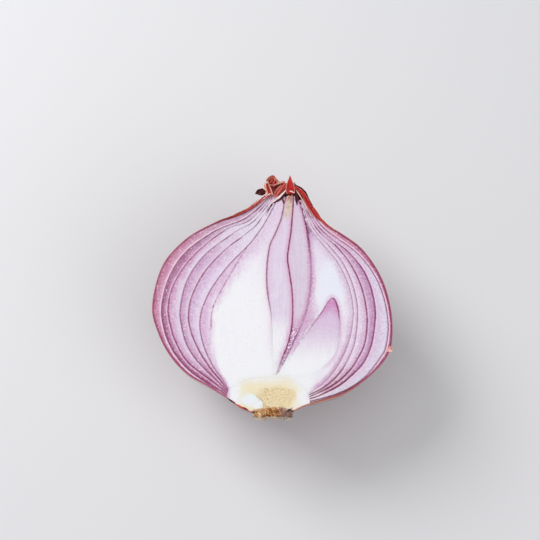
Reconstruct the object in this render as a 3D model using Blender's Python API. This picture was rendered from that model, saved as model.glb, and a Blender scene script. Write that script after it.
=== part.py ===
"""Half of a red onion, cut from root to neck.

The half lies on its rounded back with the cut face up. X runs across the cut face,
Y runs from the roots to the neck and Z is up. The origin is the middle of the small
flat spot that the half rests on. The tables and driving dimensions are millimetres.
"""
import math
import random

import bmesh
import bpy
import numpy as np

MM = 0.001

# Driving dimensions
CUT_HEIGHT = 40.2        # the cut face above the surface that the half lies on
GAP = 0.3                # clearance between neighbouring layers
SKIN_THICKNESS = 0.65    # dry outer skin
LEAST_LAYER = 0.4        # thinnest that a layer becomes where it is pressed flat
LEAF_ROUNDNESS = 1.15    # depth of a leaf or bud against half its width
STEPS_ALONG = 20         # faces from root to neck
STEPS_ROOT = 4           # more faces where the skin runs under the basal plate
STEPS_ACROSS = 16        # faces from one side of the cut face to the other
NECK_CLEARANCE = 0.45    # from the ends of the scales up to the dry neck
NECK_RIM_SHARE = 0.2     # where the skin's inner side turns in over the scale ends
LID = 1.5                # a cutter's height over the cut face
END_ROOM = 0.45          # how much longer than its leaf each end of a cutter is

# Lines on the cut face, each from the root to the neck, as (x, y) pairs.
# First the outline, then the lines where one scale meets the next, going inwards.
LAYER_LINES = [
    ([(-15.7, -30.0), (-21.8, -26.2), (-29.1, -21.9), (-34.9, -15.7), (-39.1, -7.9), (-41.4, 1.8),
      (-38.2, 15.7), (-30.8, 24.9), (-21.8, 30.6), (-10.5, 35.1), (-4.6, 39.2)],
     [(12.9, -32.1), (18.2, -30.9), (25.8, -28.0), (34.6, -21.3), (40.2, -14.0), (41.3, -4.3),
      (39.9, 5.5), (36.7, 14.0), (31.0, 22.2), (24.4, 27.3), (20.4, 29.8), (17.3, 32.5)]),
    ([(-14.9, -28.4), (-20.9, -24.5), (-27.8, -20.2), (-33.2, -14.3), (-36.6, -7.9), (-38.1, 1.2),
      (-35.8, 11.5), (-30.2, 20.7), (-20.1, 28.3), (-9.3, 33.1), (-2.9, 38.6)],
     [(12.5, -30.4), (17.3, -28.9), (25.1, -26.5), (33.1, -20.2), (38.8, -12.8), (39.8, -4.3),
      (38.3, 5.2), (34.9, 13.4), (29.4, 20.5), (22.9, 25.6), (18.8, 28.7), (16.0, 31.7)]),
    ([(-14.1, -26.9), (-20.1, -23.1), (-25.7, -19.3), (-31.1, -13.2), (-34.3, -6.7), (-35.9, 1.2),
      (-33.9, 9.7), (-27.8, 19.1), (-17.1, 28.3), (-8.1, 32.2), (-2.0, 38.4)],
     [(12.1, -28.8), (16.2, -27.7), (23.9, -23.2), (30.1, -16.4), (34.3, -9.1), (35.5, -1.2),
      (34.7, 6.1), (32.0, 13.7), (26.9, 20.5), (21.0, 25.4), (17.8, 28.2), (15.3, 31.2)]),
    ([(-13.4, -25.5), (-18.9, -21.9), (-23.1, -18.1), (-27.5, -12.3), (-30.5, -6.1), (-31.8, 0.6),
      (-29.5, 10.9), (-23.4, 20.0), (-13.3, 27.8), (-6.4, 32.1), (-1.3, 38.2)],
     [(11.8, -27.2), (15.6, -25.7), (20.4, -23.2), (26.6, -16.4), (30.7, -8.5), (32.3, -1.2),
      (31.1, 7.6), (27.6, 15.8), (22.7, 22.5), (18.6, 26.0), (16.6, 28.0), (14.5, 30.7)]),
    ([(-12.6, -24.1), (-17.7, -20.5), (-21.9, -16.3), (-25.7, -10.8), (-28.1, -5.5), (-28.8, -1.2),
      (-27.7, 5.5), (-23.4, 14.0), (-15.9, 22.2), (-6.7, 29.5), (-0.4, 37.9)],
     [(11.4, -25.6), (14.7, -24.0), (19.1, -20.8), (25.1, -14.9), (28.5, -7.3), (29.4, 0.6),
      (27.9, 9.1), (24.5, 17.0), (20.4, 22.4), (16.7, 26.3), (13.8, 30.2)]),
    ([(-11.8, -22.7), (-16.5, -19.0), (-20.7, -14.2), (-23.4, -9.1), (-24.7, -3.6), (-23.9, 1.8),
      (-20.8, 8.5), (-15.0, 16.4), (-7.6, 24.3), (-2.9, 31.0), (0.6, 37.6)],
     [(11.1, -24.1), (13.8, -22.6), (17.8, -19.6), (23.8, -13.9), (27.2, -6.7), (27.9, 0.6),
      (26.4, 9.0), (23.0, 16.7), (18.8, 22.2), (15.6, 26.0), (13.0, 29.7)]),
]

# The two centre leaves share their middle line.
CENTRE_LEFT = [(0.0, -22.1), (0.0, -13.4), (-0.2, -3.0), (-1.7, 7.3), (-1.9, 14.6), (-1.0, 22.5),
               (1.2, 27.9), (3.1, 32.8), (4.0, 37.5), (4.9, 41.0)]
CENTRE_MIDDLE = [(1.0, -22.1), (3.3, -16.4), (5.6, -10.3), (6.9, -3.0), (6.9, 6.1), (5.9, 14.0),
                 (5.3, 19.4), (6.4, 27.3), (7.1, 35.2), (7.4, 41.0)]
CENTRE_RIGHT = [(1.9, -22.1), (4.9, -16.4), (7.4, -10.9), (10.1, -4.3), (12.3, 2.4), (13.4, 10.9),
                (13.2, 19.4), (12.0, 29.2), (10.5, 35.8), (8.9, 41.0)]
BUD_LEFT = [(2.6, -22.5), (5.2, -17.9), (8.3, -12.5), (13.8, -5.2), (17.9, 0.6), (20.5, 4.5)]
BUD_RIGHT = [(12.4, -22.5), (16.6, -19.2), (20.2, -15.4), (22.4, -11.0), (23.3, -5.2),
             (22.6, 0.6), (21.3, 4.5)]

# The basal plate from its top rim round its flank to the root scar, and the scar below it
PLATE_LEFT = [(-11.5, -23.15), (-13.5, -27.0), (-14.2, -29.2), (-10.2, -32.7), (-6.8, -33.9)]
PLATE_RIGHT = [(10.75, -24.6), (11.6, -28.6), (11.8, -30.8), (9.6, -32.1), (6.9, -33.5)]
SCAR_LEFT = [(-6.2, -34.4), (-5.9, -35.8), (-3.6, -36.4)]
SCAR_RIGHT = [(6.6, -34.6), (6.4, -35.8), (4.6, -36.5)]

# The dry skin under the plate, from the rim round the scar to the root end of the outline
SKIN_ROOT_LEFT = [(-7.0, -35.0), (-10.6, -33.7)]
SKIN_ROOT_RIGHT = [(7.4, -34.6), (10.0, -33.2)]

# The dry neck over the ends of the scales
NECK_LEFT = [(-2.4, 41.1), (-0.4, 43.0), (2.1, 44.4)]
NECK_RIGHT = [(14.5, 36.5), (11.9, 40.4), (8.6, 43.6)]

# Root stubs
ROOT_COUNT = 26
ROOT_SIDES = 5
ROOT_RADIUS = 0.5
ROOT_SPREAD = 5.6        # radius of the ring of roots on the scar
ROOT_LENGTHS = (1.4, 2.4)

# Papery strips of the neck, each a path of (x, y, z) points and its width at each point
STRIP_THICKNESS = 0.75
SPIKE = [(7.4, 42.4, 38.8), (7.0, 44.4, 39.9), (6.3, 46.4, 40.9), (5.9, 48.0, 41.4)]
SPIKE_WIDTHS = [3.4, 2.8, 1.5, 0.5]
FLAKE = [(-0.2, 41.0, 37.2), (-3.0, 41.6, 37.6), (-5.0, 42.2, 37.9), (-6.6, 42.7, 38.3)]
FLAKE_WIDTHS = [1.4, 2.4, 2.6, 1.0]
STRAP = [(1.2, 40.0, 39.9), (3.0, 41.6, 40.7), (5.0, 42.8, 40.4)]
STRAP_WIDTHS = [1.0, 1.3, 0.9]
LOOP_CENTRE = (-0.2, 45.6)
LOOP_RADIUS = 2.0
LOOP_HEIGHTS = (36.4, 41.0)
LOOP_STEPS = 11
LOOP_TURN = 300          # degrees of a full turn
RIM_STEPS = 9            # lengths that the torn skin edge on each shoulder is made of
RIM_OUTWARD = 0.35       # middle of that edge outside the outline
RIM_STAND = 0.6          # height of that edge over the cut face
RIM_DEPTH = 1.6          # how far that edge is joined to the skin below the cut face

COLOURS = {
    "dry_skin": ((0.34, 0.03, 0.06), 0.3),
    "scale_1": ((0.62, 0.25, 0.42), 0.35),
    "scale_2": ((0.74, 0.48, 0.66), 0.35),
    "scale_3": ((0.76, 0.54, 0.72), 0.35),
    "scale_4": ((0.78, 0.60, 0.76), 0.35),
    "scale_5": ((0.82, 0.68, 0.82), 0.35),
    "inner_scale": ((0.88, 0.86, 0.90), 0.35),
    "centre_leaf_left": ((0.80, 0.72, 0.82), 0.35),
    "centre_leaf_right": ((0.76, 0.66, 0.78), 0.35),
    "side_bud": ((0.80, 0.62, 0.76), 0.35),
    "basal_plate": ((0.83, 0.74, 0.52), 0.6),
    "root_scar": ((0.36, 0.20, 0.09), 0.8),
}


def clear_scene():
    for existing in list(bpy.data.objects):
        bpy.data.objects.remove(existing)


def smooth_line(points, steps):
    """Points spaced evenly along a smooth curve through the given ones."""
    given = np.array(points, dtype=float)
    padded = np.vstack([2 * given[0] - given[1], given, 2 * given[-1] - given[-2]])
    dense = []
    for i in range(1, len(padded) - 2):
        before, start, end, after = padded[i - 1:i + 3]
        for t in np.linspace(0.0, 1.0, 24, endpoint=False):
            bend = 2 * before - 5 * start + 4 * end - after
            turn = 3 * start - before - 3 * end + after
            dense.append(0.5 * (2 * start + (end - before) * t + bend * t ** 2 + turn * t ** 3))
    dense.append(given[-1])
    dense = np.array(dense)
    lengths = np.r_[0.0, np.cumsum(np.linalg.norm(np.diff(dense, axis=0), axis=1))]
    wanted = np.linspace(0.0, lengths[-1], steps + 1)
    return np.column_stack([np.interp(wanted, lengths, dense[:, k]) for k in range(2)])


def side_normals(line):
    """Unit normals on the left of a line as it runs from root to neck."""
    run = np.gradient(line, axis=0)
    run /= np.linalg.norm(run, axis=1)[:, None]
    return np.column_stack([-run[:, 1], run[:, 0]])


def widen(left, right, distance):
    """Move both lines away from the flesh between them."""
    return left + side_normals(left) * distance, right - side_normals(right) * distance


def lengthen(line, distance):
    """Carry both ends of a line on by a distance."""
    first = line[0] - line[1]
    last = line[-1] - line[-2]
    start = line[0] + first / np.linalg.norm(first) * distance
    end = line[-1] + last / np.linalg.norm(last) * distance
    return np.vstack([start, line[1:-1], end])


def arches(left, right, roundness=1.0, floor=0.0, across=STEPS_ACROSS):
    """Half-ellipses hung under the cut face from the right line to the left line."""
    angles = np.linspace(0.0, math.pi, across + 1)
    rows = []
    for left_point, right_point in zip(left, right):
        middle = (left_point + right_point) / 2
        half = (right_point - left_point) / 2
        flat = middle + np.outer(np.cos(angles), half)
        depth = roundness * np.linalg.norm(half) * np.sin(angles)
        height = np.maximum(CUT_HEIGHT - depth, floor)
        rows.append(np.column_stack([flat, height]))
    return np.array(rows)


def material(name):
    colour, roughness = COLOURS[name]
    made = bpy.data.materials.new(name)
    made.use_nodes = True
    shader = made.node_tree.nodes["Principled BSDF"]
    shader.inputs["Base Color"].default_value = (*colour, 1.0)
    shader.inputs["Roughness"].default_value = roughness
    shader.inputs["Metallic"].default_value = 0.0
    return made


def add_object(name, vertices, faces, smooth=True):
    """A closed body from points in millimetres, its faces turned outwards."""
    mesh = bpy.data.meshes.new(name)
    mesh.from_pydata([tuple(v * MM for v in point) for point in vertices], [], faces)
    body = bmesh.new()
    body.from_mesh(mesh)
    bmesh.ops.recalc_face_normals(body, faces=body.faces)
    body.to_mesh(mesh)
    body.free()
    if smooth:
        mesh.shade_smooth()
        mesh.set_sharp_from_angle(angle=math.radians(40))
    made = bpy.data.objects.new(name, mesh)
    bpy.context.scene.collection.objects.link(made)
    if name in COLOURS:
        mesh.materials.append(material(name))
    return made


def grid_faces(first, rows, columns):
    """Triangles over a grid of vertices that starts at index first, all split the same way.

    Two surfaces that lie close together then stay the same distance apart.
    """
    faces = []
    for i in range(rows - 1):
        for j in range(columns - 1):
            corner = first + i * columns + j
            faces.append((corner, corner + 1, corner + columns + 1))
            faces.append((corner, corner + columns + 1, corner + columns))
    return faces


def half_tube(name, outer, inner):
    """A scale: a half tube between two sets of arches."""
    rows, columns = outer.shape[:2]
    shift = rows * columns
    faces = grid_faces(0, rows, columns)
    faces += [tuple(v + shift for v in reversed(face)) for face in grid_faces(0, rows, columns)]
    for i in range(rows - 1):
        for edge in (0, columns - 1):
            low = i * columns + edge
            high = low + columns
            faces.append((low, high, high + shift, low + shift))
    for j in range(columns - 1):
        for end in (0, (rows - 1) * columns):
            faces.append((end + j, end + j + 1, end + j + 1 + shift, end + j + shift))
    return add_object(name, np.vstack([outer.reshape(-1, 3), inner.reshape(-1, 3)]), faces)


def half_solid(name, surface):
    """A body filled from its arches up to the flat face above them."""
    rows, columns = surface.shape[:2]
    faces = grid_faces(0, rows, columns)
    for i in range(rows - 1):
        low = i * columns
        faces.append((low, low + columns, low + 2 * columns - 1, low + columns - 1))
    faces.append(tuple(range(columns)))
    faces.append(tuple(range((rows - 1) * columns, rows * columns)))
    return add_object(name, surface.reshape(-1, 3), faces)


def layer_pair(index, distance=0.0):
    """The left and right line of one boundary, moved outwards by a distance."""
    left, right = LAYER_LINES[index]
    return widen(smooth_line(left, STEPS_ALONG), smooth_line(right, STEPS_ALONG), distance)


def leaf_surface(left, right, grow, lid=0.0):
    """Arches of a centre leaf or bud, grown all round, with a lid for use as a cutter."""
    steps = len(left) + 4
    sides = widen(smooth_line(left, steps), smooth_line(right, steps), grow)
    if grow > 0:
        sides = (lengthen(sides[0], END_ROOM), lengthen(sides[1], END_ROOM))
    rows = arches(*sides, roundness=LEAF_ROUNDNESS, across=10)
    if lid:
        raised = rows[:, [0, -1]] + np.array([0.0, 0.0, lid])
        rows = np.concatenate([raised[:, :1], rows, raised[:, 1:]], axis=1)
    return rows


def dry_skin_body():
    """The skin from the root scar round the half, closed over the ends of the scales."""
    outline = layer_pair(0)
    root = [smooth_line([*given, side[0]], STEPS_ROOT)
            for given, side in zip((SKIN_ROOT_LEFT, SKIN_ROOT_RIGHT), outline)]
    outer = np.concatenate([arches(*root)[:-1], arches(*outline)])
    neck_left = smooth_line([outline[0][-1], *NECK_LEFT], 4)[1:]
    neck_right = smooth_line([outline[1][-1], *NECK_RIGHT], 4)[1:]
    outer = np.concatenate([outer, arches(neck_left, neck_right)])
    inner_root = arches(*widen(*root, -SKIN_THICKNESS))[:-1]
    inner = arches(*layer_pair(0, -SKIN_THICKNESS), floor=SKIN_THICKNESS)
    inner = np.concatenate([inner_root, inner])
    outer_ends, inner_ends = [np.array([side[-1] for side in LAYER_LINES[i]]) for i in (0, -1)]
    rims = [outer_ends + (inner_ends - outer_ends) * share for share in (NECK_RIM_SHARE, 1.0)]
    roof = np.array(rims) + [0.0, NECK_CLEARANCE]
    inner = np.concatenate([inner, arches(roof[:, 0], roof[:, 1])])

    columns = outer.shape[1]
    last = outer.shape[0] - 1
    plane = STEPS_ROOT + STEPS_ALONG
    shift = outer.shape[0] * columns
    faces = grid_faces(0, outer.shape[0], columns)
    faces += [tuple(reversed(face)) for face in grid_faces(shift, inner.shape[0], columns)]
    for i in range(plane):
        for edge in (0, columns - 1):
            low = i * columns + edge
            faces.append((low, low + columns, low + columns + shift, low + shift))
    for j in range(columns - 1):
        faces.append((j, j + 1, j + 1 + shift, j + shift))
    faces.append(tuple(range(last * columns, (last + 1) * columns)))
    faces.append(tuple(shift + (plane + 2) * columns + j for j in range(columns)))
    right_side = [i * columns for i in range(plane, last + 1)]
    left_side = [i * columns + columns - 1 for i in range(last, plane - 1, -1)]
    roof_left = [shift + i * columns + columns - 1 for i in range(plane, plane + 3)]
    roof_right = [shift + i * columns for i in range(plane + 2, plane - 1, -1)]
    faces.append(tuple(right_side + left_side + roof_left + roof_right))
    return add_object("dry_skin", np.vstack([outer.reshape(-1, 3), inner.reshape(-1, 3)]), faces)


def strip(name, path, widths, on_edge=False):
    """A thin tapered ribbon along a path, lying flat or standing on edge."""
    path = np.array(path, dtype=float)
    run = np.gradient(path, axis=0)
    run /= np.linalg.norm(run, axis=1)[:, None]
    up = np.array([0.0, 0.0, 1.0])
    vertices = []
    for point, heading, width in zip(path, run, widths):
        across = np.cross(heading, up)
        across /= np.linalg.norm(across)
        wide, thin = (up, across) if on_edge else (across, np.cross(across, heading))
        for a, b in ((-1, -1), (1, -1), (1, 1), (-1, 1)):
            vertices.append(point + wide * a * width / 2 + thin * b * STRIP_THICKNESS / 2)
    faces = [(3, 2, 1, 0)]
    for i in range(len(path) - 1):
        for j in range(4):
            low = 4 * i + j
            side = 4 * i + (j + 1) % 4
            faces.append((low, side, side + 4, low + 4))
    end = 4 * (len(path) - 1)
    faces.append((end, end + 1, end + 2, end + 3))
    return add_object(name, vertices, faces, smooth=False)


def neck_strips():
    """The withered strips that stand out of the neck and the torn edge on both shoulders."""
    made = [strip("spike", SPIKE, SPIKE_WIDTHS),
            strip("flake", FLAKE, FLAKE_WIDTHS),
            strip("strap", STRAP, STRAP_WIDTHS)]

    middle = sum(LOOP_HEIGHTS) / 2
    height = LOOP_HEIGHTS[1] - LOOP_HEIGHTS[0]
    loop = []
    for i in range(LOOP_STEPS + 1):
        angle = math.radians(-70 + LOOP_TURN * i / LOOP_STEPS)
        loop.append((LOOP_CENTRE[0] + LOOP_RADIUS * math.cos(angle),
                     LOOP_CENTRE[1] + LOOP_RADIUS * math.sin(angle), middle))
    made.append(strip("loop", loop, [height] * len(loop), on_edge=True))

    outline_left, outline_right = LAYER_LINES[0]
    left = smooth_line([*outline_left[-3:], *NECK_LEFT[:1]], RIM_STEPS)
    right = smooth_line([*outline_right[-3:], *NECK_RIGHT[:2]], RIM_STEPS)
    height = RIM_STAND + RIM_DEPTH
    level = CUT_HEIGHT + RIM_STAND - height / 2
    for name, flat in zip(("left_edge", "right_edge"), widen(left, right, RIM_OUTWARD)):
        path = np.column_stack([flat, np.full(len(flat), level)])
        made.append(strip(name, path, [height] * len(path), on_edge=True))
    return made


def combine(target, tools, operation, solver="EXACT"):
    """Join tools to a body or cut them out of it, then remove them."""
    group = bpy.data.collections.new(target.name + "_tools")
    bpy.context.scene.collection.children.link(group)
    for tool in tools:
        group.objects.link(tool)
    change = target.modifiers.new(operation.lower(), "BOOLEAN")
    change.operation = operation
    change.operand_type = "COLLECTION"
    change.collection = group
    change.solver = solver
    bpy.context.view_layer.update()
    evaluated = target.evaluated_get(bpy.context.evaluated_depsgraph_get())
    finished = bpy.data.meshes.new_from_object(evaluated)
    target.modifiers.clear()
    target.data = finished
    for tool in tools:
        bpy.data.objects.remove(tool)
    bpy.data.collections.remove(group)


def leaf_cutters(pairs):
    return [half_solid(f"cutter_{i}", leaf_surface(left, right, GAP / 2, LID))
            for i, (left, right) in enumerate(pairs)]


def root_scar():
    """The corky scar with its trimmed root stubs."""
    scar = half_solid("root_scar", arches(smooth_line(SCAR_LEFT, 4), smooth_line(SCAR_RIGHT, 4), across=12))
    draw = random.Random(4)
    stubs = []
    for i in range(ROOT_COUNT):
        around = math.pi * (i + 0.5) / ROOT_COUNT
        reach = ROOT_SPREAD * (0.92 if i % 3 == 0 else 0.66 if i % 3 == 1 else 0.3)
        foot = np.array([0.6 + reach * math.cos(around), -35.4,
                         CUT_HEIGHT - 1.0 - reach * math.sin(around)])
        lean = np.array([0.45 * math.cos(around), -1.0, -0.45 * math.sin(around)])
        lean += np.array([draw.uniform(-0.35, 0.35), 0.0, draw.uniform(-0.35, 0.2)])
        lean /= np.linalg.norm(lean)
        tip = foot + lean * draw.uniform(*ROOT_LENGTHS)
        side = np.cross(lean, [0.0, 0.0, 1.0])
        side /= np.linalg.norm(side)
        other = np.cross(lean, side)
        vertices = []
        for centre, radius in ((foot, ROOT_RADIUS), (tip, ROOT_RADIUS * 0.55)):
            for k in range(ROOT_SIDES):
                turn = math.tau * k / ROOT_SIDES
                vertices.append(centre + radius * (side * math.cos(turn) + other * math.sin(turn)))
        faces = [tuple(range(ROOT_SIDES)), tuple(range(ROOT_SIDES, 2 * ROOT_SIDES))]
        for k in range(ROOT_SIDES):
            after = (k + 1) % ROOT_SIDES
            faces.append((k, after, after + ROOT_SIDES, k + ROOT_SIDES))
        stubs.append(add_object(f"stub_{i}", vertices, faces, smooth=False))
    combine(scar, stubs, "UNION")


def build():
    clear_scene()
    leaf_pairs = [(CENTRE_LEFT, CENTRE_MIDDLE), (CENTRE_MIDDLE, CENTRE_RIGHT)]
    bud_pair = (BUD_LEFT, BUD_RIGHT)

    skin = dry_skin_body()
    combine(skin, leaf_cutters(leaf_pairs), "DIFFERENCE")
    combine(skin, neck_strips(), "UNION", solver="MANIFOLD")

    floor = SKIN_THICKNESS + GAP
    outer = arches(*layer_pair(0, -SKIN_THICKNESS - GAP), floor=floor)
    for index in range(1, len(LAYER_LINES)):
        floor += LEAST_LAYER
        inner = arches(*layer_pair(index, GAP / 2), floor=floor)
        half_tube(f"scale_{index}", outer, inner)
        floor += GAP
        outer = arches(*layer_pair(index, -GAP / 2), floor=floor)
    inner_scale = half_solid("inner_scale", outer)
    combine(inner_scale, leaf_cutters([*leaf_pairs, bud_pair]), "DIFFERENCE")

    half_solid("centre_leaf_left", leaf_surface(*leaf_pairs[0], -GAP / 2))
    half_solid("centre_leaf_right", leaf_surface(*leaf_pairs[1], -GAP / 2))
    half_solid("side_bud", leaf_surface(*bud_pair, -GAP / 2))
    half_solid("basal_plate", arches(smooth_line(PLATE_LEFT, 10), smooth_line(PLATE_RIGHT, 10)))
    root_scar()


build()
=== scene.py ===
"""Looks of half a red onion that lies on its rounded back with the cut face up.

X runs across the cut face, Y from the roots to the neck and Z is up. Sizes and tables are
millimetres, and become metres where a mesh is made.
"""
import math
import random

import bmesh
import bpy
import numpy as np
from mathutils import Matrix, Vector, noise
from mathutils.geometry import delaunay_2d_cdt


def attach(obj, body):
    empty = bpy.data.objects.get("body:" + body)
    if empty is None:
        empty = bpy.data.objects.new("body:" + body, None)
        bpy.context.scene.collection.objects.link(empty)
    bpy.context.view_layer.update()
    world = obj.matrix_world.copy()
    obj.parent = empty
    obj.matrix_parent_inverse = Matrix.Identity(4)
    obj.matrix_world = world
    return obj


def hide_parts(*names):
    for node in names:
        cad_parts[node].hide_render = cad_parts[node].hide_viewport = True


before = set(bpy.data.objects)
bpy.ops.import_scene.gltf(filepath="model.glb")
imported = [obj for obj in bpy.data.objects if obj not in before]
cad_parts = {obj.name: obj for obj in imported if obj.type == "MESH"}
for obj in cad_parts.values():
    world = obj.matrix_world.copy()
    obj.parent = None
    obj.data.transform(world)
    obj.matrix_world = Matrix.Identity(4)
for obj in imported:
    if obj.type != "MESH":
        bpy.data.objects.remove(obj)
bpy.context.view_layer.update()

MM = 0.001
CUT_HEIGHT = 40.2        # the cut face over the table
SEAM = 0.05              # between neighbouring layers
HAIRLINE = 0.02          # round the stem disc, which grows into the layers
SKIN = 0.34              # thickness of the dry skin
EDGE_DIP = 0.07          # how far a cut layer's edges lie under its middle
FLAT_BLEND = 0.6         # how softly the back turns into its flat spot
LEAF_ROUNDNESS = 1.15    # depth of a leaf or bud against half its width
ROWS = 110               # faces of a layer or a centre leaf from root to neck
ARCS = 40                # faces of a layer round its back
LEAF_COLUMNS = 14        # faces across a centre leaf's cut face
BUD_ROWS = 60            # faces of the bud from its foot to its tip
BUD_COLUMNS = 18         # faces across the bud's cut face
ROOT_ROWS = 12           # faces of the skin under the root end
HOLE = (5.8, -34.1)      # the dark hole in the root scar, on the cut face
FLESH_STEP = 0.55        # between points on the white flesh
FIBRES = 150             # tries at cut root fibres on the scar
STUBS = 210              # tries at trimmed roots round its back
BEADS = 120              # beads of juice in the foot of the right centre leaf
TORN_STRIPS = (11, 6)    # torn skin strips on the left and right shoulder
NECK_LEAVES = 16         # withered leaves round the back of the neck
NECK_ROWS = 10           # faces of the skin from the last layer to the end of the neck
SKIN_ARCS = 96           # faces of the skin round the back
CAP_COLUMNS = 40         # points across the cap of the neck

# Lines on the cut face, each from the root to the neck, as (x, y) pairs.
# First the outline, then the lines where one scale meets the next, going inwards.
LAYER_LINES = [
    ([(-15.7, -30.0), (-21.8, -26.2), (-29.1, -21.9), (-34.9, -15.7), (-39.1, -7.9), (-41.4, 1.8),
      (-38.2, 15.7), (-30.8, 24.9), (-21.8, 30.6), (-10.5, 35.1), (-4.6, 39.2), (-1.0, 42.3)],
     [(12.9, -32.1), (18.2, -30.9), (25.8, -28.0), (34.6, -21.3), (40.2, -14.0), (41.3, -4.3),
      (39.9, 5.5), (36.7, 14.0), (31.0, 22.2), (24.4, 27.3), (20.4, 29.8), (17.3, 32.5),
      (14.5, 36.5), (11.7, 40.6)]),
    ([(-15.6, -29.15), (-18.5, -27.05), (-21.4, -25.4), (-25.6, -22.6), (-28.6, -20.3),
      (-31.9, -16.7), (-34.3, -13.2), (-36.8, -7.4), (-38.1, 1.2),
      (-35.8, 11.5), (-30.2, 20.7), (-20.1, 28.3), (-9.3, 33.1), (-2.9, 38.6), (-0.2, 41.9)],
     [(12.8, -31.3), (17.4, -30.2), (21.8, -28.8), (26.2, -26.9), (30.4, -24.0), (33.8, -20.4),
      (37.0, -16.0), (38.9, -12.4), (39.8, -4.3),
      (38.3, 5.2), (34.9, 13.4), (29.4, 20.5), (22.9, 25.6), (18.8, 28.7), (16.0, 31.7),
      (13.6, 35.9), (11.15, 40.3)]),
    ([(-15.45, -28.6), (-18.4, -25.9), (-21.8, -23.3), (-25.6, -20.5), (-28.5, -18.1),
      (-30.9, -15.0), (-33.0, -10.9), (-34.6, -6.6), (-35.9, 1.2),
      (-33.9, 9.7), (-27.8, 19.1), (-17.1, 28.3), (-8.1, 32.2), (-2.0, 38.4), (0.4, 41.7)],
     [(12.7, -30.5), (15.5, -29.6), (19.2, -27.8), (22.1, -26.3), (25.0, -24.2), (27.9, -21.5),
      (30.7, -18.6), (33.0, -14.5), (34.6, -9.1), (35.5, -1.2),
      (34.7, 6.1), (32.0, 13.7), (26.9, 20.5), (21.0, 25.4), (17.8, 28.2), (15.3, 31.2),
      (13.0, 35.6), (10.8, 40.1)]),
    ([(-15.3, -28.15), (-17.5, -25.6), (-20.0, -23.1), (-22.8, -20.4), (-25.1, -18.0),
      (-27.4, -15.1), (-29.6, -11.2), (-31.0, -6.3), (-31.8, 0.6),
      (-29.5, 10.9), (-23.4, 20.0), (-13.3, 27.8), (-6.4, 32.1), (-1.3, 38.2), (1.0, 41.5)],
     [(12.6, -29.8), (17.4, -27.5), (20.7, -25.7), (24.4, -22.8), (27.5, -19.3), (29.6, -15.8),
      (31.4, -12.2), (32.3, -8.0), (32.6, -1.2),
      (31.1, 7.6), (27.6, 15.8), (22.7, 22.5), (18.6, 26.0), (16.6, 28.0), (14.5, 30.7),
      (12.4, 35.3), (10.45, 39.9)]),
    ([(-15.15, -27.75), (-16.7, -25.3), (-18.6, -22.9), (-20.6, -20.6), (-22.5, -18.0),
      (-24.7, -14.5), (-26.8, -10.2), (-28.2, -6.2), (-28.9, -1.2),
      (-27.7, 5.5), (-23.4, 14.0), (-15.9, 22.2), (-6.7, 29.5), (-0.4, 37.9), (1.6, 41.3)],
     [(12.5, -29.1), (15.3, -27.8), (17.9, -26.3), (20.7, -24.0), (23.4, -21.1), (25.5, -17.7),
      (27.3, -13.8), (28.7, -8.8), (29.4, 0.6),
      (27.9, 9.1), (24.5, 17.0), (20.4, 22.4), (16.7, 26.3), (13.8, 30.2), (11.9, 35.0),
      (10.1, 39.7)]),
    ([(-15.0, -27.3), (-16.0, -25.2), (-17.6, -22.7), (-19.4, -20.4), (-21.0, -17.8),
      (-22.7, -14.3), (-24.1, -10.2), (-24.9, -6.0), (-24.8, -2.0), (-23.9, 1.8),
      (-20.8, 8.5), (-15.0, 16.4), (-7.6, 24.3), (-2.9, 31.0), (0.6, 37.6), (2.2, 41.1)],
     [(12.4, -28.5), (14.6, -27.0), (16.9, -25.3), (19.4, -22.8), (22.0, -19.5), (24.1, -15.9),
      (26.0, -11.4), (27.2, -6.7), (27.9, 0.6),
      (26.4, 9.0), (23.0, 16.7), (18.8, 22.2), (15.6, 26.0), (13.0, 29.7), (11.4, 34.6),
      (9.8, 39.5)]),
]
CENTRE_LEFT = [(0.0, -22.1), (0.0, -13.4), (-0.2, -3.0), (-1.7, 7.3), (-1.9, 14.6), (-1.0, 22.5),
               (1.2, 27.9), (3.1, 32.8), (4.0, 37.5), (4.9, 41.0)]
CENTRE_MIDDLE = [(1.0, -22.1), (3.3, -16.4), (5.6, -10.3), (6.9, -3.0), (6.9, 6.1), (5.9, 14.0),
                 (5.3, 19.4), (6.4, 27.3), (7.1, 35.2), (7.4, 41.0)]
CENTRE_RIGHT = [(1.9, -22.1), (4.9, -16.4), (7.4, -10.9), (10.1, -4.3), (12.3, 2.4), (13.4, 10.9),
                (13.2, 19.4), (12.0, 29.2), (10.5, 35.8), (8.9, 41.0)]
BUD_LEFT = [(2.6, -22.2), (5.2, -17.9), (8.3, -12.7), (13.2, -5.4), (17.0, -0.1), (19.0, 3.1),
            (20.4, 4.7)]
BUD_RIGHT = [(12.4, -22.5), (17.0, -19.4), (20.9, -15.6), (22.7, -11.0), (23.3, -5.2),
             (22.8, 0.2), (21.9, 3.4), (20.9, 4.7)]

# Top of the stem disc on the left and on the right, from its middle outwards
DISC_TOP = [[(-1.2, -22.75), (-6.5, -23.1), (-11.0, -24.4), (-13.8, -26.2)],
            [(-1.2, -22.75), (4.0, -23.1), (8.6, -24.6), (11.3, -26.8)]]

# A faint sixth line inside the white flesh
FAINT_LINE = [(-21.0, -6.0), (-21.0, -2.0), (-19.9, 2.8), (-15.6, 11.2), (-7.6, 24.9)]

# Past the ends of the layers, on the left and on the right: the skin under the root end, the
# sides of the root scar, and the sides of the neck
SKIN_ROOT = [[(-7.0, -35.0), (-10.6, -33.7)], [(7.4, -34.6), (10.0, -33.2)]]
SCAR_SIDES = [[(-5.6, -35.8), (-2.4, -36.7)], [(6.5, -35.2), (4.6, -36.6)]]
NECK_SIDES = [[(0.4, 42.9), (2.1, 43.6)], [(10.0, 41.9), (8.6, 42.9)]]

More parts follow.
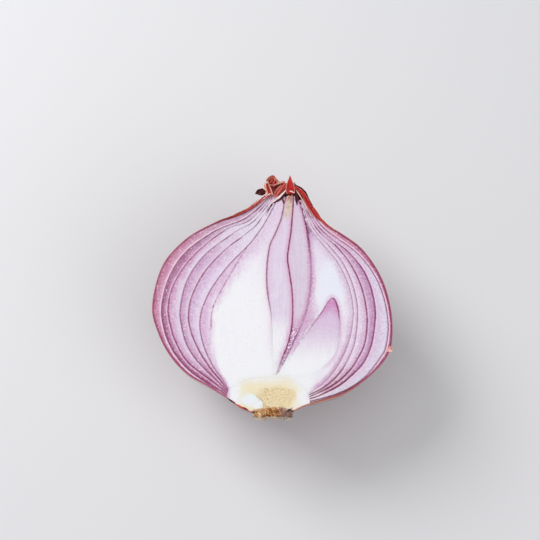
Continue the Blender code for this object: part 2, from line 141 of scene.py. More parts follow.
# Short branching marks beside the top of the right centre leaf
MARKS = [[(11.9, 32.0), (12.6, 29.8), (13.6, 28.2), (15.1, 27.0)], [(12.5, 29.9), (12.9, 27.6)],
         [(13.3, 28.6), (14.8, 28.9)]]

# Withered strips of the neck. Each has a route of (x, y, height over the cut face), half widths
# along it, degrees turned about the route, and a tone from dark maroon at 0 to pinkish white at 1.
NECK_STRIPS = [
    # the scarlet spike
    ([(6.4, 41.8, 0.2), (6.2, 44.4, 0.9), (6.2, 48.1, 1.1)], (1.4, 1.7, 1.3, 0.65, 0.05), 0, 0.42),
    # the folded cup beside it: two standing walls and what shows inside
    ([(-2.1, 46.3, 0.9), (-1.0, 47.3, 1.0), (0.3, 47.8, 0.9), (1.3, 46.8, 0.9), (2.1, 45.8, 0.7)],
     (0.45, 0.75, 0.8, 0.7, 0.45), 60, 0.72),
    ([(-2.1, 46.3, 1.2), (-1.4, 45.3, 1.3), (-0.3, 44.6, 1.4), (0.9, 44.8, 1.3), (2.1, 45.8, 1.2)],
     (0.3, 0.5, 0.55, 0.5, 0.3), 110, 0.74),
    ([(-1.7, 46.2, 0.1), (0.2, 46.5, 0.0), (1.8, 45.8, 0.0)], (0.8, 1.3, 0.8), 0, 0.22),
    ([(-1.1, 45.3, 0.4), (-0.3, 46.3, 0.5), (0.2, 47.4, 0.5)], (0.15, 0.35, 0.2), 20, 0.50),
    ([(0.1, 44.9, 0.4), (0.7, 45.9, 0.5), (0.9, 46.9, 0.4)], (0.15, 0.3, 0.15), -20, 0.46),
    # dark tissue behind the cup
    ([(-2.0, 42.2, -0.3), (-0.6, 44.0, -0.2), (0.9, 45.7, -0.1)], (0.7, 1.3, 0.9), 0, 0.18),
    ([(0.1, 42.2, -0.1), (1.3, 43.8, 0.1), (2.0, 45.4, 0.2)], (0.6, 0.9, 0.5), 0, 0.28),
    # strips down its left side
    ([(-2.2, 45.6, 0.9), (-2.6, 44.4, 0.9), (-2.1, 42.9, 0.8), (-1.4, 41.2, 0.5)],
     (0.25, 0.4, 0.35, 0.25), 30, 0.80),
    ([(-1.7, 46.2, 1.1), (-1.2, 44.6, 1.3), (-0.6, 43.0, 1.1), (0.0, 41.2, 0.6)],
     (0.15, 0.3, 0.3, 0.25), -25, 0.84),
    ([(-1.9, 45.4, 0.3), (-1.4, 43.6, 0.4), (-0.7, 41.3, 0.2)], (0.35, 0.75, 0.45), 0, 0.40),
    # the second fold with its pale edge, dark inside
    ([(0.3, 44.2, 1.0), (1.6, 45.0, 1.2), (2.9, 45.5, 1.2), (4.2, 45.9, 0.9)],
     (0.12, 0.26, 0.3, 0.2), 20, 0.82),
    ([(0.8, 43.2, 0.3), (2.4, 44.2, 0.5), (3.9, 44.9, 0.5)], (0.6, 1.0, 0.7), 0, 0.14),
    ([(0.1, 40.6, 0.3), (1.3, 42.6, 0.9), (3.1, 44.8, 1.0)], (0.2, 0.35, 0.2), 25, 0.68),
    ([(0.9, 40.4, 0.4), (2.5, 42.5, 0.9), (4.1, 45.0, 1.0)], (0.25, 0.45, 0.25), -20, 0.56),
    ([(1.9, 40.9, 0.4), (3.2, 42.8, 0.8), (4.9, 44.8, 0.9)], (0.3, 0.5, 0.3), 15, 0.40),
    ([(2.9, 41.6, 0.2), (4.2, 43.2, 0.6), (5.2, 44.3, 0.7)], (0.25, 0.45, 0.25), 0, 0.24),
    ([(4.2, 45.9, 0.8), (4.5, 44.7, 0.9), (3.7, 43.0, 0.7)], (0.2, 0.45, 0.3), 30, 0.52),
    # the pinkish white strap under them, with the dark line on its lower side
    # its pinkish white is partly a painted highlight
    ([(-1.3, 37.3, 0.02), (-0.2, 38.6, 0.15), (1.2, 39.6, 0.4), (2.6, 40.6, 0.8), (3.8, 41.8, 1.0),
      (4.9, 43.0, 0.9)], (0.12, 0.2, 0.3, 0.34, 0.3, 0.15), 10, 1.0),
    ([(0.4, 38.4, 0.02), (2.5, 39.5, 0.1), (3.7, 40.7, 0.3), (5.2, 42.5, 0.5)],
     (0.12, 0.3, 0.42, 0.25), 0, 0.02),
    ([(-2.3, 33.8, 0.0), (-1.1, 36.1, 0.03), (0.1, 38.2, 0.1)], (0.04, 0.14, 0.2), 0, 0.10),
    # the dark flake on the left
    ([(-5.9, 41.6, 0.5), (-4.9, 42.0, 0.9), (-3.7, 42.1, 1.0), (-2.3, 42.0, 0.5)],
     (0.1, 1.05, 1.3, 0.5), 8, 0.03),
    # the hollow between the centre leaves, and crumbs round it
    # a dark strip that is painted shade in the hollow
    ([(8.5, 41.9, 0.3), (8.5, 40.0, 0.1), (8.6, 37.6, 0.02)], (0.5, 0.62, 0.08), 0, 0.0),
    ([(5.6, 42.9, 0.5), (6.6, 43.0, 0.7), (7.6, 42.7, 0.5)], (0.1, 0.35, 0.1), 0, 0.04),
    # a pale strip that is a painted highlight
    ([(5.9, 42.5, 0.9), (6.8, 42.3, 1.0), (7.6, 41.9, 0.8)], (0.1, 0.28, 0.12), 15, 0.98),
    ([(3.5, 40.4, 0.1), (3.8, 39.2, 0.1), (3.9, 38.0, 0.03)], (0.15, 0.3, 0.06), 0, 0.16),
    ([(5.9, 41.2, 0.2), (5.3, 40.1, 0.3), (5.0, 39.0, 0.1)], (0.12, 0.3, 0.1), 20, 0.80),
    ([(6.9, 41.5, 0.2), (6.5, 40.2, 0.3), (6.4, 38.6, 0.05)], (0.15, 0.3, 0.1), -20, 0.76),
    # the raised scarlet strip on the right shoulder, over a dark one
    ([(7.2, 44.6, 0.7), (9.0, 43.2, 0.9), (10.7, 41.5, 0.9), (11.9, 39.2, 0.7), (13.3, 36.7, 0.5),
      (15.2, 33.9, 0.35), (17.4, 31.9, 0.15), (19.6, 30.2, 0.0)],
     (0.35, 0.5, 0.62, 0.75, 0.8, 0.75, 0.5, 0.12), -12, 0.40),
    ([(7.4, 45.0, 0.3), (9.5, 44.0, 0.4), (11.4, 42.2, 0.3), (12.6, 39.8, 0.2), (13.9, 37.8, 0.1)],
     (0.12, 0.3, 0.4, 0.3, 0.1), 0, 0.06),
    ([(8.3, 42.8, 0.6), (9.6, 41.0, 0.6), (10.8, 38.9, 0.4), (12.2, 36.2, 0.2), (14.0, 33.5, 0.05)],
     (0.12, 0.2, 0.24, 0.2, 0.06), 0, 0.90),
]

# Bits of dry skin elsewhere: the tab on the right and brown crumbs by the root
SKIN_BITS = [
    ([(39.6, -13.3, 0.1), (40.6, -13.8, 0.3), (41.3, -13.9, 0.2)], (0.7, 0.5, 0.05), 0, 0.88),
    ([(39.9, -12.2, 0.0), (40.8, -13.0, 0.3), (41.0, -13.9, 0.3)], (0.3, 0.4, 0.1), 30, 0.80),
    ([(-15.2, -30.2, 0.15), (-13.9, -31.1, 0.2), (-12.6, -31.8, 0.1)], (0.12, 0.28, 0.1), 0, 0.05),
    ([(-12.1, -32.3, 0.15), (-11.0, -33.0, 0.25), (-9.8, -33.6, 0.1)], (0.15, 0.35, 0.12), 0, 0.58),
    ([(-10.4, -33.2, 0.2), (-9.4, -33.6, 0.2), (-8.2, -34.2, 0.1)], (0.12, 0.3, 0.12), 0, 0.26),
]

# Values that a piece's points carry for its material: millimetres from the sides of a layer,
# from the centre leaves, from the bud and from the marks, the share of the way from root to
# neck, degrees round the back, and how pale a dry strip is
VALUES = ("rim", "inner", "along", "pocket", "bud", "mark", "around", "tone")


# Lines and arches

def smooth_line(points, steps):
    """Points spaced evenly along a smooth curve through the given ones."""
    given = np.array(points, dtype=float)
    padded = np.vstack([2 * given[0] - given[1], given, 2 * given[-1] - given[-2]])
    dense = []
    for i in range(1, len(padded) - 2):
        before, start, end, after = padded[i - 1:i + 3]
        for t in np.linspace(0.0, 1.0, 24, endpoint=False):
            bend = 2 * before - 5 * start + 4 * end - after
            turn = 3 * start - before - 3 * end + after
            dense.append(0.5 * (2 * start + (end - before) * t + bend * t ** 2 + turn * t ** 3))
    dense.append(given[-1])
    return divided(np.array(dense), steps)


def lengths_along(line):
    """How far each point lies from the start of a line, along it."""
    return np.r_[0.0, np.cumsum(np.linalg.norm(np.diff(line, axis=0), axis=1))]


def divided(line, count):
    """A line of straight pieces with points that split its length into equal stretches."""
    lengths = lengths_along(line)
    wanted = np.linspace(0.0, lengths[-1], count + 1)
    return np.column_stack([np.interp(wanted, lengths, column) for column in line.T])


def spaced(line, step):
    """A line with points about one step apart."""
    return divided(line, max(1, round(lengths_along(line)[-1] / step)))


def side_normals(line):
    """Unit normals on the left of a line as it runs from root to neck."""
    run = np.gradient(line, axis=0)
    run /= np.linalg.norm(run, axis=1)[:, None]
    return np.column_stack([-run[:, 1], run[:, 0]])


def widen(left, right, distance):
    """Move both lines away from the flesh between them."""
    return left + side_normals(left) * distance, right - side_normals(right) * distance


def distance_to(points, line):
    """Shortest distance from each point to a line of straight pieces."""
    best = np.full(len(points), 1e9)
    for start, end in zip(line[:-1], line[1:]):
        run = end - start
        share = np.clip((points - start) @ run / max(run @ run, 1e-12), 0.0, 1.0)
        best = np.minimum(best, np.linalg.norm(points - start - share[:, None] * run, axis=1))
    return best


def distance_to_any(points, lines):
    """Shortest distance from each point to the nearest of several lines."""
    return np.min([distance_to(points, line) for line in lines], axis=0)


def arches(left, right, roundness=1.0, floor=0.0, across=ARCS, dip=EDGE_DIP):
    """Half-ellipses hung under the cut face from the right line to the left line."""
    angles = np.linspace(0.0, math.pi, across + 1)
    rows = []
    for left_point, right_point, sunk in zip(left, right, np.broadcast_to(dip, len(left))):
        middle = (left_point + right_point) / 2
        half = (right_point - left_point) / 2
        flat = middle + np.outer(np.cos(angles), half)
        above = CUT_HEIGHT - sunk - roundness * np.linalg.norm(half) * np.sin(angles) - floor
        height = floor + 0.5 * (above + np.sqrt(above ** 2 + FLAT_BLEND ** 2))
        rows.append(np.column_stack([flat, height]))
    return np.array(rows)


def held_in(along):
    """How much of a groove is there: none at the root end, where the layers grow together."""
    return np.clip(along / 0.07, 0.0, 1.0) * (1.0 - 0.6 * np.clip((along - 0.66) / 0.2, 0.0, 1.0))


def foot_fade(y):
    """How much of a groove is there beside a centre leaf or bud, which fades out at its foot."""
    return np.clip((y + 19.0) / 14.0, 0.1, 1.0)


def cut_level(points, edge_distance, held=1.0):
    """Height of the cut face: low along the edges of a layer, uneven from the knife."""
    level = CUT_HEIGHT - EDGE_DIP * held * np.exp(-edge_distance / 0.22)
    drag = [noise.noise(Vector((x * 0.10, y * 0.22, 0.0))) for x, y in points]
    return level + 0.05 * np.array(drag) * (1 - np.exp(-edge_distance / 0.5))


def layer_sides(index, distance):
    """The left and right line of a layer, moved away from the flesh between them."""
    left, right = LAYER_LINES[index]
    return widen(smooth_line(left, ROWS), smooth_line(right, ROWS), distance)


def skin_root_lines():
    """The skin's outline from the root scar to where the layers start, on each side."""
    return [smooth_line([*given, side[0]], ROOT_ROWS)
            for given, side in zip(SKIN_ROOT, LAYER_LINES[0])]


def disc_top(side):
    """The domed top of the stem disc on one side, from its middle to where the layers start."""
    return smooth_line([*DISC_TOP[side], LAYER_LINES[5][side][0]], 30)


def plate_sides():
    """The flanks of the stem disc: its domed top, past the root ends of the layers, the skin."""
    skin = widen(*skin_root_lines(), -(SKIN + HAIRLINE))
    sides = []
    for side, low in enumerate(skin):
        ends = np.array([pair[side][0] for pair in reversed(LAYER_LINES[1:])])
        ends[:, 0] += HAIRLINE * (1 - 2 * side)
        top = disc_top(side) - np.array([0.0, HAIRLINE])
        top[0, 0] += 0.05 * (2 * side - 1)
        sides.append(np.vstack([top[:-1], divided(ends, 8), low[::-1]]))
    return sides


# Meshes

class Patches:
    """Patches of surface that are welded into closed bodies in one mesh."""

    def __init__(self):
        self.mesh = bmesh.new()
        self.layers = {name: self.mesh.verts.layers.float.new(name) for name in VALUES}

    def points(self, points, values):
        """Corners at the points, given in millimetres, with their values."""
        flat = np.asarray(points, dtype=float).reshape(-1, 3)
        columns = {}
        for name, value in values.items():
            columns[name] = np.broadcast_to(value, np.shape(points)[:-1]).reshape(-1)
        made = []
        for i, point in enumerate(flat):
            vertex = self.mesh.verts.new(point * MM)
            for name, column in columns.items():
                vertex[self.layers[name]] = float(column[i])
            made.append(vertex)
        return made

    def face(self, corners, slot):
        try:
            made = self.mesh.faces.new(corners)
        except ValueError:
            return
        made.material_index = slot
        made.smooth = True

    def grid(self, points, slot=0, **values):
        """A patch of rows and columns of points."""
        made = self.points(points, values)
        rows, columns = np.shape(points)[:2]
        for i in range(rows - 1):
            for j in range(columns - 1):
                low = i * columns + j
                self.face((made[low], made[low + 1],
                           made[low + columns + 1], made[low + columns]), slot)

    def triangles(self, points, faces, slot=0, **values):
        made = self.points(points, values)
        for corners in faces:
            self.face([made[i] for i in corners], slot)

    def close(self, slot=0):
        """Weld the patches, fill what is still open and turn the faces outwards."""
        bmesh.ops.remove_doubles(self.mesh, verts=self.mesh.verts, dist=0.004 * MM)
        open_edges = [edge for edge in self.mesh.edges if edge.is_boundary]
        filled = bmesh.ops.holes_fill(self.mesh, edges=open_edges, sides=0)["faces"]
        for made in filled:
            made.material_index = slot
            made.smooth = True
        bmesh.ops.triangulate(self.mesh, faces=filled)
        bmesh.ops.recalc_face_normals(self.mesh, faces=self.mesh.faces)

    def take(self, mesh, slot=0):
        """Add a finished mesh, such as one that Geometry Nodes made, with its values."""
        values = {name: np.array([item.value for item in mesh.attributes[name].data])
                  for name in VALUES if name in mesh.attributes}
        made = self.points(np.array([vertex.co for vertex in mesh.vertices]) / MM, values)
        before = len(self.mesh.faces)
        for polygon in mesh.polygons:
            self.face([made[i] for i in polygon.vertices], slot)
        self.mesh.faces.ensure_lookup_table()
        bmesh.ops.recalc_face_normals(self.mesh, faces=self.mesh.faces[before:])

    def piece(self, name, finishes, sharp=50):
        """The finished object. Edges sharper than so many degrees stay crisp."""
        mesh = bpy.data.meshes.new(name)
        self.mesh.to_mesh(mesh)
        self.mesh.free()
        mesh.set_sharp_from_angle(angle=math.radians(sharp))
        for finish in finishes:
            mesh.materials.append(finish)
        made = bpy.data.objects.new(name, mesh)
        bpy.context.scene.collection.objects.link(made)
        return made


def cut_strip(patches, outer_edge, inner_edge, along, columns, slot=0, groove=None, held=1.0):
    """The cut face of a layer between its two edges."""
    spacing = 0.5 - 0.5 * np.cos(np.linspace(0.0, math.pi, columns + 1))
    flat = outer_edge[:, None, :2] + spacing[None, :, None] * (inner_edge - outer_edge)[:, None, :2]
    width = np.linalg.norm((inner_edge - outer_edge)[:, :2], axis=1)[:, None]
    rim = spacing[None, :] * width
    inner = (1 - spacing)[None, :] * width
    nearest = np.minimum(rim, inner)
    held = np.repeat(np.broadcast_to(held, len(outer_edge)), columns + 1)
    level = cut_level(flat.reshape(-1, 2), nearest.reshape(-1), held).reshape(nearest.shape)
    if groove is not None:
        level = level - groove(flat, rim, inner)
    points = np.concatenate([flat, level[:, :, None]], axis=2)
    points[:, 0] = outer_edge
    points[:, -1] = inner_edge
    patches.grid(points, slot, rim=rim, inner=inner, along=along[:, None])


def cut_polyline(line, start, end):
    """The part of a line before it crosses the straight stretch from start to end."""
    across = end - start
    for i in range(len(line) - 1):
        run = line[i + 1] - line[i]
        turn = run[0] * across[1] - run[1] * across[0]
        if abs(turn) < 1e-9:
            continue
        away = start - line[i]
        share = (away[0] * across[1] - away[1] * across[0]) / turn
        other = (away[0] * run[1] - away[1] * run[0]) / turn
        if 0 <= share <= 1 and 0 <= other <= 1:
            return np.vstack([line[:i + 1], line[i] + share * run])
    return line


def closed(loop):
    """A loop with its first point again at its end."""
    return np.vstack([loop, loop[:1]])


def inside(points, loop):
    """Which points lie inside a closed loop."""
    result = np.zeros(len(points), dtype=bool)
    for start, end in zip(loop, np.roll(loop, -1, axis=0)):
        crosses = (start[1] > points[:, 1]) != (end[1] > points[:, 1])
        height = end[1] - start[1] if end[1] != start[1] else 1e-12
        at = start[0] + (points[:, 1] - start[1]) * (end[0] - start[0]) / height
        result ^= crosses & (points[:, 0] < at)
    return result


# Pieces of flesh

def fleshy_scale(index, finish):
    """One scale between two boundary lines."""
    depth = SKIN + 0.1 if index == 1 else SKIN + 0.7 * (index - 1)
    first = SKIN + SEAM if index == 1 else SEAM / 2
    along = np.linspace(0.0, 1.0, ROWS + 1)
    held = held_in(along)
    outer = arches(*layer_sides(index - 1, -first), floor=depth, dip=EDGE_DIP * held)
    inner = arches(*layer_sides(index, SEAM / 2), floor=depth + 0.6, dip=EDGE_DIP * held)
    patches = Patches()
    thick = np.linalg.norm(outer[:, 0, :2] - inner[:, 0, :2], axis=1)[:, None]
    patches.grid(outer, rim=0.0, inner=thick, along=along[:, None])
    patches.grid(inner, rim=thick, inner=0.0, along=along[:, None])
    for edge in (0, -1):
        cut_strip(patches, outer[:, edge], inner[:, edge], along, 10, held=held)
    for end in (0, -1):
        patches.grid(np.stack([outer[end], inner[end]]), rim=0.0, inner=0.0, along=along[end])
    patches.close()
    return patches.piece(f"scale_{index}_flesh", [finish])


def leaf_arches(left, right, grow, rows, across=24):
    """The rounded underside of a centre leaf or bud between its lines, grown by a distance."""
    left, right = smooth_line(left, rows), smooth_line(right, rows)
    held = foot_fade((left + right)[:, 1] / 2)
    sides = widen(left, right, grow * held[:, None])
    return arches(*sides, roundness=LEAF_ROUNDNESS, across=across, dip=EDGE_DIP * held)


def solid_leaf(left, right, rows, columns, groove=None):
    """A centre leaf or bud, with rim measured from its left line and inner from its right."""
    surface = leaf_arches(left, right, -SEAM / 2, rows)
    along = np.linspace(0.0, 1.0, rows + 1)
    patches = Patches()
    patches.grid(surface, rim=0.0, inner=0.0, along=along[:, None])
    held = foot_fade((surface[:, 0, 1] + surface[:, -1, 1]) / 2)
    cut_strip(patches, surface[:, -1], surface[:, 0], along, columns, groove=groove, held=held)
    patches.close()
    return patches


def cleft(flat, rim, inner):
    """How deep the narrow foot of the right centre leaf lies under the cut face."""
    y = flat[:, :, 1]
    run = np.clip((-2.5 - y) / 4.0, 0.0, 1.0) * np.clip((y + 24.0) / 3.0, 0.0, 1.0)
    return 0.75 * run * (1 - np.exp(-np.minimum(rim, inner) / 0.25))


def spread_points(outline, hole, drawn):
    """Points over the flesh between an outline and a hole, and along the lines drawn on it."""
    draw = random.Random(7)
    spread = np.array([(x + draw.uniform(-0.12, 0.12), y + draw.uniform(-0.12, 0.12))
                       for x in np.arange(outline[:, 0].min(), outline[:, 0].max(), FLESH_STEP)
                       for y in np.arange(-29.0, 42.0, FLESH_STEP)])
    spread = spread[inside(spread, outline) & ~inside(spread, hole)]
    edges = [closed(outline), closed(hole)]
    clear = (distance_to_any(spread, edges) > 0.3) & (distance_to_any(spread, drawn) > 0.25)
    drawn = np.vstack(drawn)
    kept = inside(drawn, outline) & (distance_to_any(drawn, edges) > 0.2)
    return np.vstack([spread[clear], drawn[kept]])


def cut_faces(outline, hole, spread):
    """Points and triangles that fill an outline round a hole."""
    rings = []
    start = 0
    for loop in (outline, hole):
        ring = list(range(start, start + len(loop)))
        rings += list(zip(ring, ring[1:] + ring[:1]))
        start += len(loop)
    points = np.vstack([outline, hole, spread])
    found = delaunay_2d_cdt([Vector(p) for p in points], rings, [], 0, 1e-6)
    flat = np.array([tuple(v) for v in found[0]])
    faces = np.array([face for face in found[2] if len(face) == 3])
    centres = flat[faces].mean(axis=1)
    return flat, faces[inside(centres, outline) & ~inside(centres, hole)]


def inner_flesh(finish):
    """The white flesh inside the fifth line, with pockets for the centre leaves and the bud."""
    held = held_in(np.linspace(0.0, 1.0, ROWS + 1))
    outer = arches(*layer_sides(5, -SEAM / 2), floor=4.2, dip=EDGE_DIP * held)
    left, right = outer[:, -1, :2], outer[:, 0, :2]
    sides = [smooth_line(line, 300) for line in (CENTRE_LEFT, CENTRE_RIGHT)]
    gap = SEAM / 2 * foot_fade((sides[0] + sides[1])[:, 1] / 2)
    sides = [divided(cut_polyline(side, left[-1], right[-1]), 90)
             for side in widen(*sides, gap[:, None])]
    shallow = EDGE_DIP * foot_fade((sides[0] + sides[1])[:, 1] / 2)
    pocket = arches(*sides, roundness=LEAF_ROUNDNESS, across=24, dip=shallow)
    bud = leaf_arches(BUD_LEFT, BUD_RIGHT, SEAM / 2, 50)
    pocket_loop = np.vstack([pocket[::-1, -1, :2], pocket[:, 0, :2]])
    bud_loop = np.vstack([bud[:, -1, :2], bud[::-1, 0, :2]])
    foot = np.vstack([disc_top(1)[1:-1][::-1], disc_top(0)[:-1]])
    outline = np.vstack([left, pocket_loop, right[::-1], foot])

    faint = spaced(smooth_line(FAINT_LINE, 60), 0.4)
    marks = [spaced(smooth_line(mark, 20), 0.3) for mark in MARKS]
    flat, faces = cut_faces(outline, bud_loop, spread_points(outline, bud_loop, [faint, *marks]))
    to_rim = np.minimum(distance_to(flat, left), distance_to(flat, right))
    to_pocket = distance_to(flat, pocket_loop)
    to_bud = distance_to(flat, closed(bud_loop))
    to_mark = distance_to_any(flat, marks)
    nearest = np.min([to_rim, to_pocket, to_bud], axis=0)
    share = np.clip((flat[:, 1] + 27.0) / 67.0, 0.0, 1.0)
    at_rim = to_rim <= np.minimum(to_pocket, to_bud)
    level = cut_level(flat, nearest, np.where(at_rim, held_in(share), foot_fade(flat[:, 1])))
    border = {}
    for row in (*outer[:, 0], *outer[:, -1], *pocket[:, 0], *pocket[:, -1],
                *bud[:, 0], *bud[:, -1]):
        border[(round(row[0], 4), round(row[1], 4))] = row[2]
    for i in np.flatnonzero(nearest < 1e-4):
        level[i] = border.get((round(flat[i][0], 4), round(flat[i][1], 4)), level[i])

    patches = Patches()
    patches.triangles(np.column_stack([flat, level]), faces, rim=to_rim,
                      inner=distance_to(flat, faint), along=share, pocket=to_pocket,
                      bud=to_bud, mark=to_mark)
    patches.grid(outer, rim=0.0, inner=5.0, along=0.5, pocket=9.0, bud=9.0, mark=9.0)
    patches.grid(pocket, rim=9.0, inner=5.0, along=0.5, pocket=0.0, bud=9.0, mark=9.0)
    patches.grid(bud, rim=9.0, inner=5.0, along=0.5, pocket=9.0, bud=0.0, mark=9.0)
    patches.close()
    return patches.piece("inner_flesh", [finish])


def basal_plate(finish):
    """The stem disc that the scales grow from."""
    surface = arches(*plate_sides(), dip=0.0)
    along = np.linspace(0.0, 1.0, len(surface))
    patches = Patches()
    patches.grid(surface, along=along[:, None])
    cut_strip(patches, surface[:, -1], surface[:, 0], along, 90, held=0.0,
              groove=lambda flat, rim, inner: plate_grains(flat))
    patches.close()
    return patches.piece("basal_plate_flesh", [finish])


def plate_grains(flat):
    """Depth between the grains of the cut disc, which lie away from its pale edges."""
    depth = np.zeros(flat.shape[:2])
    for i, j in np.ndindex(depth.shape):
        x, y = flat[i, j]
        middle = max(0.0, 1.0 - ((x - 0.8) / 8.0) ** 2 - ((y + 30.5) / 4.4) ** 2)
        depth[i, j] = (0.5 + noise.noise(Vector((x * 1.9, y * 1.9, 3.0)))) * 0.22 * middle
    return depth


def scar_pits(flat):
    """Depth of the pits in the cut cork, with one round hole near its right end."""
    pits = np.zeros(flat.shape[:2])
    for i, j in np.ndindex(pits.shape):
        x, y = flat[i, j]
        rough = max(0.0, noise.fractal(Vector((x * 0.9, y * 1.6, 8.0)), 1.0, 2.0, 3))
        hole = math.exp(-((x - HOLE[0]) / 0.75) ** 2 - ((y - HOLE[1]) / 0.5) ** 2)
        pits[i, j] = rough * 0.9 + hole * 1.3
    return pits


def corky_scar(finish):
    """The scar under the stem disc, with cut root fibres on it and stubs round its back."""
    ends = [side[-1] + np.array([0.0, -2 * HAIRLINE]) for side in plate_sides()]
    sides = [smooth_line([end, *given], 16) for end, given in zip(ends, SCAR_SIDES)]
    surface = arches(*sides, across=48, dip=0.0)
    middle = np.array([0.4, -34.0, CUT_HEIGHT])
    for i, j in np.ndindex(surface.shape[:2]):
        point = surface[i, j]
        rough = noise.fractal(Vector(point * 0.55), 1.0, 2.0, 4)
        away = point - middle
        point += away / np.linalg.norm(away) * rough * 0.35 * min(1.0, i / 3)
    along = np.linspace(0.0, 1.0, 17)
    patches = Patches()
    patches.grid(surface, along=along[:, None], tone=0.35)
    cut_strip(patches, surface[:, -1], surface[:, 0], along, 70, held=0.0,
              groove=lambda flat, rim, inner: scar_pits(flat))
    patches.close()
    fibres = paths(cut_fibres() + root_stubs(surface), 6)
    sizes = {"Sides": 6, "Thickness": 0.75, "Curl": 0.0, "Crumple": 0.22 * MM,
             "Crumple scale": 900.0, "Seed": 4}
    patches.take(made_by_nodes("root_fibres", fibres, sizes, strip_nodes, finish))
    return patches


def cut_fibres():
    """Root fibres that lie on the cut face of the scar: straw on the left, rusty further on."""
    draw = random.Random(31)
    fibres = []
    for _ in range(FIBRES):
        x = draw.uniform(-6.2, 6.2)
        y = draw.uniform(-36.0, -33.4 - abs(x - 0.6) * 0.11)
        slope = draw.gauss(-52.0, 16.0) if x < 0.5 else draw.gauss(20.0, 40.0)
        reach = draw.uniform(0.6, 2.0)
        run = np.array([math.cos(math.radians(slope)), math.sin(math.radians(slope)), 0.0])
        start = np.array([x, y, CUT_HEIGHT + draw.uniform(-0.25, 0.1)]) - run * reach * 0.4
        bend = np.array([draw.uniform(-0.25, 0.25), draw.uniform(-0.2, 0.2),
                         draw.uniform(0.05, 0.3)])
        route = [start, start + run * reach / 2 + bend, start + run * reach]
        if route[-1][1] < -36.9 or route[0][1] > -32.9:
            continue
        thick = draw.uniform(0.07, 0.15)
        tone = draw.uniform(0.55, 0.95) if x < -1.5 else draw.uniform(0.15, 0.75)
        fibres.append((route, (thick, thick * 1.2, thick * 0.6), 0, tone))
    return fibres


def root_stubs(surface):
    """Trimmed roots that stand out of the scar's back and end."""
    draw = random.Random(32)
    middle = np.array([0.4, -30.0, CUT_HEIGHT + 1.0])
    stubs = []
    for _ in range(STUBS):
        i, j = draw.randrange(3, len(surface)), draw.randrange(1, surface.shape[1] - 1)
        foot = surface[i, j]
        away = foot - middle
        away /= np.linalg.norm(away)
        lean = np.array([draw.uniform(-0.5, 0.5) for _ in range(3)])
        reach = draw.uniform(0.4, 1.2)
        if foot[1] + 0.21 * (foot[2] - CUT_HEIGHT) < -36.9:
            reach *= 0.35
        route = [foot - away * 0.5, foot + (away + lean * 0.3) * reach * 0.5,
                 foot + (away + lean) * reach]
        top = max(point[2] for point in route)
        if top > CUT_HEIGHT - 0.8 or (route[-1][1] < -37.6 and top > CUT_HEIGHT - 5.0):
            continue
        thick = draw.uniform(0.16, 0.30)
        stubs.append((route, (thick * 1.2, thick, thick * draw.uniform(0.4, 0.9)), 0,
                      draw.uniform(0.2, 0.9)))
    return stubs


def juice_beads(finish):
    """Small beads of juice in the narrow foot of the right centre leaf."""
    draw = random.Random(18)
    lines = [smooth_line(line, 200) for line in (CENTRE_MIDDLE, CENTRE_RIGHT)]
    beads = []
    while len(beads) < BEADS:
        y = draw.triangular(-22.0, -3.6, -7.0)
        sides = [np.interp(y, line[:, 1], line[:, 0]) for line in lines]
        share = draw.gauss(0.42, 0.2)
        if not 0.12 < share < 0.85:
            continue
        x = sides[0] + share * (sides[1] - sides[0])
        beads.append(((x, y, CUT_HEIGHT - 0.35), draw.uniform(0.10, 0.34)))
    points = bpy.data.meshes.new("bead_places")
    points.from_pydata([tuple(np.array(place) * MM) for place, _ in beads], [], [])
    widths = points.attributes.new("width", "FLOAT", "POINT")
    widths.data.foreach_set("value", [size * MM for _, size in beads])
    sizes = {"Flatness": 0.75, "Crumple": 0.10 * MM, "Crumple scale": 1500.0, "Seed": 9}
    return made_by_nodes("juice_beads", points, sizes, bead_nodes, finish)


# Dry skin and neck

def shoulder_strips():
    """Straw-like torn edges of skin that run down both shoulders from the neck."""
    draw = random.Random(5)
    strips = []
    for side, inward, last, tones in (
            (0, 1, 30.0, (0.10, 0.22, 0.30, 0.34, 0.42, 0.46, 0.90)),
            (1, -1, 22.0, (0.08, 0.22, 0.28, 0.36, 0.44, 0.56, 0.85))):
        outline = smooth_line(LAYER_LINES[0][side], 200)
        normals = side_normals(outline)
        lengths = lengths_along(outline)
        for k in range(TORN_STRIPS[side]):
            far = lengths[-1] - draw.uniform(0.0, 5.0)
            near = far - draw.uniform(7.0, last - 6.0) * (1.0 if k % 3 else 0.6)
            across = -inward * draw.uniform(-0.35, 0.9)
            places = np.linspace(near, far, 7)
            route = []
            for i, place in enumerate(places):
                point = [np.interp(place, lengths, outline[:, c]) for c in range(2)]
                turn = [np.interp(place, lengths, normals[:, c]) for c in range(2)]
                off = across * (0.35 + 0.65 * i / 6) + draw.uniform(-0.12, 0.12)
                high = 0.12 + 0.55 * (i / 6) ** 2 + draw.uniform(0.0, 0.25)
                route.append((point[0] + turn[0] * off, point[1] + turn[1] * off, high))
            wide = draw.uniform(0.12, 0.30)
            tone = draw.choice(tones)
            strips.append((route, (0.03, wide, wide, wide * 0.8), draw.uniform(-40, 40), tone))
    return strips


def neck_back_strips():
    """Withered leaves of the neck that show from behind and below."""
    draw = random.Random(23)
    strips = []
    for k in range(NECK_LEAVES):
        turn = math.pi * (k + draw.uniform(0.1, 0.9)) / NECK_LEAVES
        route = []
        for step, (radius, y) in enumerate(((6.0, 39.4), (5.1, 41.6), (3.6, 43.8), (2.6, 46.2))):
            radius += draw.uniform(-0.3, 0.5)
            route.append((5.2 + math.cos(turn) * radius, y + draw.uniform(-0.5, 0.6),
                          -math.sin(turn) * radius * 0.92 + 0.25 * step))
        wide = draw.uniform(0.8, 1.4)
        strips.append((route, (wide * 0.5, wide, wide * 0.7, 0.12), 90 - math.degrees(turn),
                       draw.uniform(0.1, 0.7)))
    return strips


